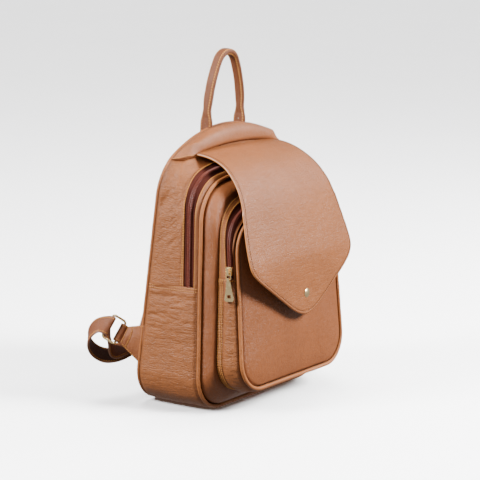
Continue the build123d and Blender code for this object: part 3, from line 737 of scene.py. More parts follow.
def plain_floor(name):
    n = Nodes(name)
    body = n.blend(n.patches(0.0, 1.0, 1.5), (0.80, 0.80, 0.81, 1.0), (0.815, 0.815, 0.82, 1.0))
    return n.finish(body, n.patches(0.7, 0.8, 8), Specular_IOR_Level=0.2)


TAN = linear(136, 80, 42)
LEATHER_SKIN = leather("leather_skin", TAN)
LEATHER_CREASED = leather("leather_creased", TAN, creased=0.6)
LEATHER_SMOOTH = leather("leather_smooth", linear(128, 73, 39), 0.34, 0.75)
LEATHER_FLAP = leather("leather_flap", linear(136, 80, 43), 0.36, 0.75, creased=0.3)
LEATHER_YOKE = leather("leather_yoke", linear(134, 80, 46), 0.38, 0.8)
LEATHER_PIPING = leather("leather_piping", linear(148, 88, 46), 0.38, 0.7, 0.0)
LEATHER_STRAP = leather("leather_strap", linear(108, 60, 32), 0.5, 0.8, 0.35)
LEATHER_DARK = leather("leather_strap_lining", linear(86, 46, 28), 0.6, 0.7, 0.2)
LEATHER_TAB = leather("leather_tab", linear(136, 80, 46), 0.42, 0.8, 0.3)
EDGE = edge_paint("edge_paint_tan", linear(166, 104, 54))
EDGE_PALE = edge_paint("edge_paint_pale", linear(120, 78, 54))
THREAD = thread("thread_tan", linear(186, 126, 70))
THREAD_DEEP = thread("thread_brown", linear(88, 52, 28))
THREAD_GOLD = thread("thread_gold", linear(196, 134, 66))
TAPE = woven("zip_tape_cloth", linear(78, 32, 22), 1.0)
COIL = nylon("zip_coil_nylon", linear(96, 42, 28))
GOLD = metal("pale_gold", linear(255, 224, 168), 0.24)
LINING = woven("lining_twill", linear(118, 84, 66), 0.8)
FOAM = foam("open_foam", linear(205, 200, 188))
BOARD = woven("stiffener_board", linear(150, 132, 110), 2.0, 0.9)
ROPE = woven("rope_core", linear(210, 196, 170), 1.6)


# ---- the main bag's walls ----------------------------------------------------------------
RING_STEP = 2.6


def even_ring(line, count=None):
    """A closed line, and anything stored beside it, with its points an even distance apart."""
    wrapped = np.concatenate([line, line[:1]])
    total = lengths(wrapped[:, :3])[-1]
    count = count or int(total / RING_STEP)
    return at_lengths(wrapped, np.arange(count) * total / count)


def wrinkles(grid, size, seed, stretch):
    """Fine creases that run one way, as in leather that is drawn up by its seam."""
    ridge = 1 - np.abs(rough(grid, size, seed, stretch)) * 2.2
    soft = rough(grid, size * 2.4, seed + 7.3, stretch)
    return ridge * 0.6 + soft * 0.5


def crest(grid):
    """Lifts the leather along the yoke's front seam, up to the flap's root."""
    rise = np.exp(-((grid[..., 1] - YOKE_SEAM_Y) / 9.0) ** 2) * ease((grid[..., 2] - 270) / 36)
    grid = grid.copy()
    grid[..., 2] += CREST_RISE * rise
    return grid


def lower_gusset():
    """The base and the lower sides: leather drawn up in fine folds, with a sewn hem on top."""
    shares = spaced(270.0, 1.7, start=False)
    columns = spaced(82.0, 1.7)
    half = half_patch([back_line(), front_line(YOKE_SEAM_Y), front_line(FRONT_SEAM_Y + SEAM)],
                      [columns[columns < 0.56] / 0.56, (columns[columns >= 0.56] - 0.56) / 0.44],
                      None, LOWER_TOP, shares)
    grid = over_base(half)
    top_left, top_right, back, front = border_distances(grid)
    top = np.minimum(top_left, top_right)
    sides = np.minimum(back, front)
    across = back / (back + front)
    puff = 2.2 * np.sin(math.pi * across) ** 0.8 * ease(top / 30) * ease(grid[..., 2] / 30)
    folds = wrinkles(grid, 5.2, 3.1, (3.2, 3.2, 0.62)) * ease(top / 8) * ease(grid[..., 2] / 80)
    fade = 0.35 + 0.65 * ease((grid[..., 2] - 60) / 70)
    waves = rough(grid, 26.0, 9.0, (1.6, 1.6, 0.7)) * 0.8
    lift = puff + (folds * 1.3 * fade + waves) * ease(sides / 9)
    lift = lift + 0.9 * (1 - ease((top - 8) / 6)) * ease(sides / 4)
    lift = lift - 1.4 * close_to(sides, 4.5)
    lift = lift - sum(0.3 * groove(top, row) for row in GUSSET_ROWS)
    drop = rounded(top, 1.2)
    piece = Piece()
    outer, normal = piece.shell(grid, WALL_THICK, lift, drop, edge=np.minimum(sides, top * 6))
    piece.sew(outer, normal, [(border, row) for border in ("top", "bottom") for row in GUSSET_ROWS])
    piece.make("lower_gusset_leather", [LEATHER_CREASED, THREAD], ["lower_gusset"])


def side_seam_z(column, columns):
    """Height of the yoke's side seam, from the back to the front."""
    return mix(YOKE_SIDE_Z[0], YOKE_SIDE_Z[1], min(1.0, column / (columns - 1)))


def upper_gusset():
    """The upper sides and a band along the zip over the top; it sinks in by the flap's root, where its
    leather is also painted darker as painted shade.
    """
    rear = spaced(44.0, 1.9, end=False)
    fore = spaced(14.0, 1.4, (0.5, 1.1, 1.8, 2.6), start=False)[1:]
    lines = [back_line(), front_line(YOKE_SEAM_Y), front_line(ZIP_REAR_Y)]
    seam = lambda column: side_seam_z(column, len(rear))
    side = half_patch(lines, [rear, fore], LOWER_TOP - 6, seam, spaced(165.0, 1.9))
    top = half_patch(lines, [rear, fore], seam, None, spaced(90.0, 3.0, start=False, end=False))
    half = np.concatenate([side, top[1:]])
    grid = over_top(half)
    for _ in range(10):    # eases the bend at the yoke's seam
        middle = (grid[:, :-2] + grid[:, 2:]) / 2
        grid[:, 1:-1] = mix(grid[:, 1:-1], middle, 0.35)
    grid = crest(grid)
    rows = len(grid)
    on_top = np.zeros(rows, bool)
    on_top[len(side) - 1:rows - len(side) + 1] = True
    faces_top = on_top[:-1] & on_top[1:]
    keep = ~(faces_top[:, None] & (np.arange(grid.shape[1] - 1) < len(rear) - 1)[None, :])
    first, last, back, zip_side = border_distances(grid)
    bottom = np.minimum(first, last)
    seam_rows = np.where(on_top)[0]
    yoke = np.minimum(np.abs(first - first[seam_rows[0]]), np.abs(first - first[seam_rows[-1]]))
    behind = np.arange(grid.shape[1])[None, :] < len(rear)
    yoke = np.where(behind | on_top[:, None], yoke, FAR)
    yoke = np.where(on_top[:, None], np.abs(back - back[:, len(rear) - 1:len(rear)]), yoke)
    back = np.where(on_top[:, None], FAR, back)
    sides = np.minimum(np.minimum(back, yoke), FAR)
    z = grid[..., 2]
    slanted = grid.copy()
    slanted[..., 2] = z * 0.75 + grid[..., 1] * 0.66
    slanted[..., 1] = grid[..., 1] * 0.75 - z * 0.66
    folds = wrinkles(slanted, 5.6, 1.7, (3.0, 3.4, 0.7)) * ease((z - 180) / 40) * ease((292 - z) / 30)
    hollow = -ROOT_HOLLOW * ease((z - 235) / 40) * ease(back / 16) * ease(zip_side / 16) * ~on_top[:, None]
    puff = 1.8 * np.sin(math.pi * np.clip(back / (back + zip_side), 0, 1)) * ease((250 - z) / 60)
    waves = rough(grid, 30.0, 4.0, (1.4, 1.4, 1.0)) * 0.9
    calm = ease(sides / 8) * ease(zip_side / 12)
    lift = (folds * 1.25 + waves) * calm + hollow + puff * ease(zip_side / 10)
    lift = lift - 1.4 * close_to(sides, 4.5) - 1.2 * close_to(bottom, 7)
    lift = lift - sum(0.3 * groove(zip_side, row) for row in ZIP_ROWS)
    piece = Piece()
    # Near the flap's root the seam darkening spreads much wider: painted shade from the flap's overhang.
    flap_root_painted_shade = mix(1.0, 0.3, ease((z - 255) / 35))
    edge = np.minimum(sides * flap_root_painted_shade, zip_side * 5 + 0.6)
    outer, normal = piece.shell(grid, WALL_THICK, lift, rounded(zip_side, 1.1), keep, edge=edge)
    piece.sew(outer, normal, [("right", row) for row in ZIP_ROWS])
    piece.make("upper_gusset_leather", [LEATHER_CREASED, THREAD_GOLD], ["upper_gusset"])


def yoke():
    """The padded crescent across the top, between the back seam and the flap's root."""
    columns = spaced(44.0, 1.8)
    lines = [back_line(), front_line(YOKE_SEAM_Y)]
    seam = lambda column: side_seam_z(column, len(columns))
    grid = crest(over_top(half_patch(lines, [columns], seam, None, spaced(100.0, 1.9, end=False))))
    left, right, back, front = border_distances(grid)
    ends = np.minimum(left, right)
    sides = np.minimum(back, front)
    across = np.clip(back / (back + front), 0, 1)
    puff = YOKE_PUFF * np.sin(math.pi * across) ** 0.7 * ease(ends / 30 + 0.1)
    lift = puff + rough(grid, 34.0, 2.0) * 0.5 * ease(sides / 8)
    lift = lift - 0.9 * close_to(back, 4.0) + 0.9 * close_to(front, 6.0) * ease(ends / 5)
    drop = rounded(front, 1.4) + rounded(ends, 1.2)
    piece = Piece()
    outer, normal = piece.shell(grid, YOKE_THICK, lift, drop, edge=np.minimum(back, front * 2.5 + 1))
    piece.sew(outer, normal, [("top", 2.4), ("bottom", 2.4)])
    made = piece.make("yoke_padded", [LEATHER_YOKE, THREAD], ["yoke"])


def strip(name, line_a, line_b, z_from, wide, rows_long, materials, node, seams, rows=(),
          thick=2.0, seed=0.0):
    """A narrow band over the top, between two lines; seams says which of its two edges is sewn in."""
    columns = spaced(wide, 0.9, (0.5, 1.1, 1.8))
    half = half_patch([line_a, line_b], [columns], z_from, None, spaced(rows_long, 2.0, end=False))
    grid = over_top(half)
    first, last, near, far = border_distances(grid)
    ends = np.minimum(first, last)
    seam = np.minimum(near if seams[0] else FAR, far if seams[1] else FAR)
    free = np.minimum(FAR if seams[0] else near, FAR if seams[1] else far)
    lift = -1.2 * close_to(seam, 3.0) + rough(grid, 22.0, seed) * 0.25
    lift = lift - 1.2 * close_to(ends, 6)
    piece = Piece()
    outer, normal = piece.shell(grid, thick, lift, rounded(free, min(1.0, thick / 2)),
                                edge=np.minimum(seam, free * 5 + 0.6))
    piece.sew(outer, normal, rows)
    piece.make(name, materials, [node])


def zip_coil(name, line, z_from, node, length):
    """Two rows of coil loops that mesh along the middle of a zip."""
    shares = np.linspace(0, 1, 200)
    path = over_top(stretch_of(line, z_from, None, shares)[:, None])[:, 0]
    tangent = unit(np.gradient(path, axis=0))
    radial = path - np.array([0.0, 0.0, 150.0])
    radial[:, 1] = 0.0
    up = unit(radial - tangent * (radial * tangent).sum(1, keepdims=True))
    across = np.cross(tangent, up)
    both = np.concatenate([path, tangent, up, across], 1)
    total = lengths(path)[-1]
    count = int(total / COIL_PITCH)
    piece = Piece()
    for side in (-1, 1):
        wanted = (np.arange(count) + 0.25 + side * 0.25) * total / count
        here = at_lengths(both, wanted)
        along, normal, sideways = unit(here[:, 3:6]), unit(here[:, 6:9]), unit(here[:, 9:12])
        centres = here[:, :3] + sideways * side * 1.15 + normal * 0.1
        piece.beads(centres, unit(sideways * side + along * 0.28), normal, length, 0.85, 0, 1.2)
    for side in (-1, 1):
        piece.stitches(path + across * side * (COIL_HALF + 0.3) - up * 1.0, up, 1, 2.4)
    piece.make(name, [COIL, TAPE], [node])


def piping(name, half_line, node, plane_normal):
    """A rolled cord covered in leather, right round a seam."""
    line = closed(half_line)
    total = lengths(line)[-1]
    count = int(total / PIPE_STEP)
    line = at_lengths(np.concatenate([line, line[:1]]), np.arange(count) * total / count)
    tangent = unit(np.roll(line, -1, 0) - np.roll(line, 1, 0))
    up = np.broadcast_to(unit(np.array(plane_normal, float)), line.shape)
    side = unit(np.cross(tangent, up))
    angles = np.arange(16) * math.tau / 16
    uneven = 1 + 0.035 * rough(line, 7.0, 5.0) + 0.03 * rough(line, 30.0, 1.0)
    section = np.stack([np.cos(angles), np.sin(angles)], 1)[None] * (PIPE_R * uneven)[:, None, None]
    piece = Piece()
    piece.sweep(line, side, up, section, loop=True)
    piece.make(name, [LEATHER_PIPING], [node])


def dome(name, rim, centre, heights, materials, node, thick, rows, waves, seed, inside):
    """A panel from its rim to its centre; heights gives how far it stands out at each share."""
    shares = 1 - spaced(110.0, 3.4, end=False)
    shares = np.append(shares[shares > 0.03], 0.0)
    outward = -unit(np.array(inside) - centre)
    grid = np.stack([centre + (rim - centre) * s for s in shares], 1)
    grid = grid + outward * heights(shares)[None, :, None]
    from_rim = border_distances(grid)[2]
    lift = rough(grid, 40.0, seed) * waves * ease(from_rim / 12) - 1.3 * close_to(from_rim, 4.0)
    piece = Piece()
    outer, normal = piece.shell(grid, thick, lift, 0.0, wrap=True, edge=from_rim, inside=inside)
    for distance in rows:
        line, up = inside_border(outer, normal, "left", distance)
        piece.stitches(line, up, loop=True)
    return piece.make(name, materials, [node])


def main_bag():
    """The main compartment's walls, zip, piping and panels."""
    lower_gusset()
    upper_gusset()
    yoke()
    tape_rear, tape_front = ZIP_REAR_Y + 2.0, ZIP_FRONT_Y - 2.0
    strip("main_zip_tape_cloth", front_line(tape_rear, TAPE_RECESS), front_line(tape_front, TAPE_RECESS),
          LOWER_TOP - 3, 14.0, 290.0, [TAPE, TAPE], "main_zip_tape", (False, False),
          (("left", 4.2), ("right", 4.2)), TAPE_THICK)
    strip("front_gusset_strip_leather", front_line(ZIP_FRONT_Y), front_line(FRONT_SEAM_Y + SEAM),
          LOWER_TOP - 4, 5.0, 290.0, [LEATHER_SKIN, THREAD_GOLD], "front_gusset_strip",
          (False, True), (("left", 1.6),), seed=3.0)
    zip_middle = (ZIP_REAR_Y + ZIP_FRONT_Y) / 2
    zip_coil("main_zip_coil_teeth", front_line(zip_middle), LOWER_TOP, "main_zip_coil", 2.9)
    inset = PIPE_R + 0.2
    piping("back_piping_roll", back_line(inset, PIPE_R), "back_piping", (0, -1, -BACK_LEAN))
    front_at = on_plane(half_outline(FRONT_OUTLINE, inset), FRONT_SEAM_Y + PIPE_R)
    piping("front_piping_roll", front_at, "front_piping", (0, -1, 0))
    front_panel()
    back_panel()


def front_panel():
    """The main front wall: it swells forward from its seam to the pocket, then lies flat."""
    rim = closed(on_plane(half_outline(FRONT_OUTLINE, 2 * PIPE_R + 0.6), FRONT_SEAM_Y + SEAM - 1))
    face = closed(on_plane(half_outline(PANEL_FACE_OUTLINE), PANEL_FACE_Y))
    centre = np.array([0.0, PANEL_FACE_Y, 150.0])
    columns = []
    for t in np.linspace(0, 1, 16):
        ring = mix(rim, face, t ** 1.5)
        ring[:, 1] = mix(rim[:, 1], face[:, 1], 1 - (1 - t) ** 1.5)
        columns.append(ring)
    for t in np.linspace(0, 1, 8)[1:]:
        columns.append(mix(face, centre, t))
    grid = np.stack(columns, 1)
    count = int(lengths(grid[:, 0])[-1] / RING_STEP)
    grid = even_ring(grid.reshape(len(grid), -1), count).reshape(count, -1, 3)
    from_rim = border_distances(grid)[2]
    lift = rough(grid, 30.0, 6.0) * 0.5 * ease(from_rim / 10) - 1.0 * close_to(from_rim, 4)
    piece = Piece()
    piece.shell(grid, PANEL_THICK, lift, 0.0, wrap=True, edge=from_rim, inside=(0.0, 40.0, 150.0))
    piece.make("main_front_panel_leather", [LEATHER_SMOOTH], ["main_front_panel"])


def back_panel():
    """The padded wall that lies against the wearer's back."""
    rim = even_ring(closed(back_line(2 * PIPE_R + 0.6, 1.0)))
    centre = np.array([0.0, BACK_FOOT_Y - 1.0 - BACK_LEAN * 165.0, 165.0])
    made = dome("back_panel_padded", rim, centre, lambda s: 3.4 * (1 - s ** 5), [LEATHER_SKIN, THREAD],
                "back_panel", BACK_PANEL_THICK, (7.0,), 0.7, 8.0, (0.0, -300.0, 130.0))


# ---- the front pocket --------------------------------------------------------------------
def pocket():
    """The front pocket: its leather walls, zip, piping and front panel."""
    pocket_lower()
    rear = pocket_line(None)
    tape_rear, tape_front = pocket_line(POCKET_TAPE[0]), pocket_line(POCKET_TAPE[1])
    front = pocket_line(SEAM)
    strip("pocket_rear_strip_leather", rear, tape_rear, POCKET_LOWER_TOP - 5, 16.0, 190.0,
          [LEATHER_SKIN, THREAD_GOLD], "pocket_rear_strip", (True, False),
          (("left", 3.4), ("right", 2.2)), seed=5.0)
    strip("pocket_front_strip_leather", tape_front, front, POCKET_LOWER_TOP - 5, 3.0, 190.0,
          [LEATHER_SKIN, THREAD_GOLD], "pocket_front_strip", (False, True), seed=7.0)
    strip("pocket_zip_tape_cloth", pocket_line(POCKET_TAPE[0] + 2, TAPE_RECESS),
          pocket_line(POCKET_TAPE[1] - 2, TAPE_RECESS), POCKET_LOWER_TOP - 3, 10.0, 190.0, [TAPE, TAPE],
          "pocket_zip_tape", (False, False), thick=TAPE_THICK)
    zip_coil("pocket_zip_coil_teeth", pocket_line(sum(POCKET_TAPE) / 2), POCKET_LOWER_TOP,
             "pocket_zip_coil", 2.5)
    at_pipe = on_plane(half_outline(POCKET_OUTLINE, PIPE_R), POCKET_FOOT_Y, POCKET_LEAN, -PIPE_R)
    piping("pocket_piping_roll", at_pipe, "pocket_piping", (0, -1, -POCKET_LEAN))
    rim = on_plane(half_outline(POCKET_OUTLINE, 2 * PIPE_R + 0.3), POCKET_FOOT_Y, POCKET_LEAN, -2.0)
    centre = np.array([0.0, POCKET_FOOT_Y - POCKET_LEAN * 128.0 + 2.0, 128.0])
    dome("pocket_front_panel_leather", even_ring(closed(rim)), centre,
         lambda s: 2.0 * (1 - s ** 8) + 8.0 * (1 - s ** 2) ** 0.8, [LEATHER_SMOOTH], "pocket_front_panel",
         PANEL_THICK, (), 0.4, 12.0, (0.0, 300.0, 150.0))


def pocket_lower():
    """The pocket's lower wall: a flat sewn band at the rear and a puffed one in front."""
    columns = spaced(26.0, 1.1)
    half = half_patch([pocket_line(None), pocket_line(SEAM)], [columns], None, POCKET_LOWER_TOP,
                      spaced(240.0, 2.0, start=False))
    grid = over_base(half)
    first, last, rear, front = border_distances(grid)
    top = np.minimum(first, last)
    band = 8.5
    puffy = np.clip((rear - band) / (rear + front - band), 0, 1)
    lift = 2.8 * np.sin(math.pi * puffy) ** 0.7 * ease(top / 12 + 0.2)
    folds = wrinkles(grid, 6.0, 2.4, (2.4, 3.4, 0.8))
    lift = lift + (folds * 0.6 + rough(grid, 24.0, 3.0) * 0.5) * ease(front / 6) * ease((rear - band) / 4)
    lift = lift - 1.2 * close_to(rear, 3) - 1.2 * close_to(front, 3.5) - 0.5 * groove(rear, band, 0.9)
    lift = lift + 0.8 * (1 - ease((top - 5) / 5)) * ease(front / 3) * ease(rear / 3)
    piece = Piece()
    seams = np.minimum(np.minimum(rear, front), np.abs(rear - band) + 0.9)
    outer, normal = piece.shell(grid, WALL_THICK, lift, rounded(top, 1.0), edge=np.minimum(seams, top * 5))
    piece.sew(outer, normal, [("left", row) for row in POCKET_ROWS] + [("top", 2.4), ("bottom", 2.4)])
    piece.make("pocket_lower_gusset_leather", [LEATHER_CREASED, THREAD_GOLD], ["pocket_lower_gusset"])


# ---- the flap ----------------------------------------------------------------------------
def flap_point(x, angle=None, z=None):
    """A point on the flap's outer face: on its turn at an angle, or below it at a height."""
    crown = FLAP_CROWN * (1 - (x / FLAP_HALF) ** 2)
    if angle is not None:
        t = angle / FLAP_ARC_TURN
        reach = FLAP_ARC_R + crown * mix(FLAP_ROOT_CROWN, 1.0, min(1.0, 2 * t))
        return np.array([x, -reach * math.sin(math.radians(angle)),
                         FLAP_ARC_Z + reach * math.cos(math.radians(angle))])
    end = flap_point(x, angle=FLAP_ARC_TURN)
    heights = [end[2]] + [drop[1] for drop in FLAP_DROP]
    places = [end[1]] + [drop[0] - crown * drop[2] for drop in FLAP_DROP]
    return np.array([x, np.interp(-z, [-h for h in heights], places), z])


def flap_grid():
    """The flap's outer face as rows from its root to its tip, and each row's half width."""
    outline = round_corners(FLAP_OUTLINE)
    falling = outline[::-1]
    rows = [(angle, None) for angle in np.arange(0.0, FLAP_ARC_TURN, 1.5)]
    low_part = outline[outline[:, 1] < FLAP_ARC_Z + 22.0]
    low_part = at_lengths(np.column_stack([low_part, np.zeros(len(low_part))]),
                          np.arange(0, lengths(low_part)[-1], 1.8))
    tip = outline[-1]
    rows += [(None, (half, z)) for half, z, _ in low_part] + [(None, (0.25, tip[1]))]
    margins = np.array([0.0, 0.35, 0.8, 1.4, 2.2, 3.2, 4.4, 5.8, 7.6])
    grid = []
    halves = []
    for angle, at in rows:
        if at is None:
            half = 85.0
            for _ in range(3):
                half = np.interp(flap_point(half, angle=angle)[2], falling[:, 1], falling[:, 0])
        else:
            half = at[0]
        shrink = min(1.0, half / 18.0)
        right = half - margins * shrink
        inner = np.linspace(right[-1], 0, 22)[1:]
        xs = np.concatenate([right, inner])
        xs = np.concatenate([xs, -xs[-2::-1]])
        grid.append([flap_point(x, angle=angle, z=None if at is None else at[1]) for x in xs])
        halves.append(half)
    grid = np.array(grid)
    reach = 8
    away_from_tip = ease(np.arange(len(grid))[::-1] / 10)[:, None]
    for axis in (1, 2):
        padded = np.pad(grid[..., axis], ((reach, reach), (0, 0)), mode="reflect", reflect_type="odd")
        smoothed = softened(padded, 2 * reach + 1)[reach:-reach]
        grid[..., axis] = mix(grid[..., axis], smoothed, away_from_tip)
    return grid, np.array(halves)


def sew_to_seam(grid):
    """Runs the flap's root back a little way, under the edge of the yoke."""
    root = grid[:1].copy()
    root[..., 1] = YOKE_SEAM_Y + 3.0
    root[..., 2] = root[..., 2] - 0.5
    return np.concatenate([root, grid])


def flap():
    """The flap: leather with painted edges and one row of stitches, lined with twill."""
    grid, halves = flap_grid()
    grid = sew_to_seam(grid)
    halves = np.concatenate([halves[:1], halves])
    middle = grid.shape[1] // 2
    along = lengths(grid[:, middle])
    outline = np.column_stack([halves, along])
    outline[-1, 1] += 0.3
    distance = np.full(grid.shape[:2], FAR)
    spots = np.stack([np.abs(grid[..., 0]), np.broadcast_to(along[:, None], grid.shape[:2])], -1)
    for a, b in zip(outline[:-1], outline[1:]):
        step = b - a
        t = np.clip(((spots - a) @ step) / max(step @ step, 1e-9), 0, 1)
        distance = np.minimum(distance, np.linalg.norm(spots - a - t[..., None] * step, axis=-1))
    distance[:, [0, -1]] = 0.0
    distance[-1] = 0.0
    waves = rough(grid, 60.0, 5.0) * 0.7 + rough(grid, 17.0, 2.0) * 0.22
    creases = wrinkles(grid, 7.0, 8.0, (2.6, 1.0, 0.9)) * ease((170 - grid[..., 2]) / 30) * 0.22
    lift = (waves + creases) * ease(distance / 14) - 0.4 * groove(distance, FLAP_ROW, 0.8)
    piece = Piece()
    centre = (0.0, 40.0, 180.0)
    outer, normal = piece.shell(grid, FLAP_THICK, lift, rounded(distance, 1.45), edge=distance * 1.6 + 1.5,
                                slots=(0, 0, 2), inside=centre)
    for side in (0, 1):
        piece.stitches(*flap_stitch_line(outer, normal, distance, FLAP_ROW, side))
    made = piece.make("flap_leather", [LEATHER_FLAP, THREAD_DEEP, EDGE], ["flap"], None)
    paint_edges(made, distance, grid.shape)
    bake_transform(made)
    flap_lining(grid, distance, lift, centre)


def paint_edges(piece, distance, shape):
    """Gives the faces at the very edge of a sheet the edge paint."""
    rows, columns = shape[:2]
    faces = (rows - 1) * (columns - 1)
    near = np.minimum(distance[:-1, :-1], distance[1:, 1:]) < 0.3
    near = (near & (np.minimum(distance[1:, :-1], distance[:-1, 1:]) < 0.9)).ravel()
    slots = np.zeros(len(piece.data.polygons), int)
    piece.data.polygons.foreach_get("material_index", slots)
    slots[:faces][near] = 2
    slots[faces:2 * faces][near] = 2
    piece.data.polygons.foreach_set("material_index", slots)


def flap_stitch_line(grid, normal, distance, at, side):
    """The line on one side of the flap that runs this far inside its edge."""
    middle = grid.shape[1] // 2
    columns = np.arange(middle, -1, -1) if side == 0 else np.arange(middle, grid.shape[1])
    points, ups = [], []
    for row in range(3, len(grid)):
        d = distance[row, columns]
        if d.max() < at:
            break
        places = grid[row, columns]
        share = [np.interp(-at, -d, places[:, k]) for k in range(3)]
        points.append(share)
        ups.append([np.interp(-at, -d, normal[row, columns][:, k]) for k in range(3)])
    return np.array(points), unit(np.array(ups))


def flap_lining(grid, distance, lift, centre):
    """Twill glued inside the flap, stopping short of its painted edge."""
    normal = grid_normals(grid, centre)
    inner = grid + normal * (lift - FLAP_THICK - 0.1)[..., None]
    faces = np.minimum(distance[:-1, :-1], distance[1:, 1:]) > 3.0
    piece = Piece()
    piece.shell(inner[3:], 0.7, 0.0, 0.0, faces[3:], inside=centre)
    made = piece.make("flap_lining_twill", [LINING], ["flap_lining"], None)
    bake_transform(made)


# ---- the handle --------------------------------------------------------------------------
def handle_line():
    """The handle's middle line, from one foot over the top to the other."""
    hub_z = HANDLE_TOP_Z - HANDLE_TOP_R
    rise = hub_z - HANDLE_BEND_Z
    side_r = (HANDLE_LEG_X ** 2 + rise ** 2 - HANDLE_TOP_R ** 2) / (2 * (HANDLE_LEG_X - HANDLE_TOP_R))
    hub_x = HANDLE_LEG_X - side_r
    meet = math.atan2(rise, -hub_x)
    side = [(hub_x + side_r * math.cos(a), HANDLE_BEND_Z + side_r * math.sin(a))
            for a in np.linspace(0, meet, 20)]
    top = [(HANDLE_TOP_R * math.cos(a), hub_z + HANDLE_TOP_R * math.sin(a))
           for a in np.linspace(meet, math.pi / 2, 12)]
    half = np.array([(HANDLE_LEG_X, 325.0), (HANDLE_LEG_X, 336.0)] + side + top[1:])
    line = np.concatenate([half, half[-2::-1] * np.array([-1, 1])])
    return np.column_stack([line[:, 0], np.full(len(line), HANDLE_Y), line[:, 1]])


def handle():
    """A doubled strap, stitched along both edges and spread out flat at both feet."""
    path = handle_line()
    total = lengths(path)[-1]
    path = softened(at_lengths(path, np.linspace(0, total, 200)), 9)
    path[:, 1] = HANDLE_Y - (path[:, 2] - HANDLE_FOOT_Z) * HANDLE_LEAN
    along = lengths(path)
    from_foot = np.minimum(along, along[-1] - along)
    tangent = unit(np.gradient(path, axis=0))
    up = np.broadcast_to(unit([0.0, -1.0, -HANDLE_LEAN]), path.shape)
    side = unit(np.cross(tangent, up))
    narrow = ease((from_foot - 16) / 16)
    wide = mix(HANDLE_FOOT_HALF, HANDLE_WIDE / 2, narrow) - 1.2 * np.exp(-((from_foot - 34) / 7) ** 2)
    thick = mix(HANDLE_FOOT_THIN, HANDLE_THICK / 2, narrow)
    count = 36
    angles = (np.arange(count) + 0.5) * math.tau / count
    cosine, sine = np.cos(angles), np.sin(angles)
    across = np.sign(sine) * np.abs(sine) ** 0.75
    round_over = np.sign(cosine) * np.abs(cosine) ** 0.6
    pillow = 1 - 0.3 * np.abs(across) ** 3
    uneven = 1 + 0.03 * rough(path, 11.0, 4.0)[:, None]
    section = np.stack([round_over * pillow * thick[:, None] * uneven, across * wide[:, None] * uneven], -1)
    crease = (groove(along, 24, 2.6) + groove(total - along, 24, 2.6))[:, None]
    section[..., 0] -= np.sign(section[..., 0]) * crease * 0.5
    piece = Piece()
    border = (wide[:, None] - np.abs(section[..., 1])) * 1.3 + 0.6
    grid = piece.sweep(path, side, up, section, edge=border)
    rows = [k for k in range(count) if abs(abs(across[k]) - 0.72) < 0.07]
    for column in rows:
        piece.stitches(grid[5:-5, column], side[5:-5] * np.sign(cosine[column]), pitch=3.2)
    made = piece.make("handle_leather", [LEATHER_STRAP, THREAD], ["handle"], None)
    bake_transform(made)


# ---- straps, rings and tabs --------------------------------------------------------------
def turn(angle, shrink=0.0):
    """A point on the loose turn that the strap makes below the ring."""
    angle = math.radians(angle)
    across = TURN_ALONG * ((TURN_R1 - shrink) * math.cos(angle))
    return TURN_AT + across + TURN_UP * ((TURN_R2 - shrink) * math.sin(angle))


def strap_section(wide, thick):
    """Offsets round a strap with rounded edges, and the material of each stretch between them."""
    half, r = wide / 2, thick / 2
    across = [-half + r, -half + 2.4, -half + 3.2, -half + 5, -half / 3]
    across = across + [-x for x in reversed(across)]
    dips = [0, 0.18, 0.1, 0, 0.05, 0.05, 0, 0.1, 0.18, 0]
    top = [(x, r - dip) for x, dip in zip(across, dips)]
    edge = [(half - r + r * math.sin(a), r * math.cos(a)) for a in (0.5, 1.1, math.pi / 2, 2.04, 2.64)]
    bottom = [(x, -y) for x, y in reversed(top)]
    other = [(-x, -y) for x, y in edge]
    points = np.array(top + edge + bottom + other)
    slots = [0] * (len(top) - 1) + [2] * (len(edge) + 1) + [1] * (len(bottom) - 1) + [2] * (len(other) + 1)
    return points, np.array(slots)


def strap_piece(stations, name, body, nodes, mirror, blend=None):
    """One run of strap through stations, each a point on its middle line and a direction across it."""
    line = smooth_line([p for p, _ in stations], 14)
    sides = smooth_line([unit(s) for _, s in stations], 14)
    total = lengths(line)[-1]
    both = at_lengths(np.concatenate([line, sides], 1), np.linspace(0, total, int(total / 1.8)))
    both = softened(both, 15)
    line, sides = both[:, :3], both[:, 3:]
    tangent = unit(np.gradient(line, axis=0))
    side = unit(sides - tangent * (sides * tangent).sum(1, keepdims=True))
    up = np.cross(tangent, side)
    points, slots = strap_section(STRAP_WIDE, STRAP_THICK)
    line, side, up = on_side(mirror, line, side, up)
    piece = Piece()
    edge = (STRAP_WIDE / 2 - np.abs(points[:, 0])) * 1.6 + 0.8
    piece.sweep(line, side, up, points, slots=slots, edge=edge[None, :])
    for sign, face in ((-1, -1), (-1, 1), (1, -1), (1, 1)):
        row = line + side * sign * (STRAP_WIDE / 2 - STRAP_ROW) + up * face * (STRAP_THICK / 2 - 0.15)
        piece.stitches(row[2:-2], up[2:-2] * face, 3, pitch=3.2)
    materials = [LEATHER_STRAP, LEATHER_DARK, EDGE_PALE, THREAD_GOLD]
    made = piece.make(name, materials, nodes, None if blend else body)
    if blend:
        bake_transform(made)


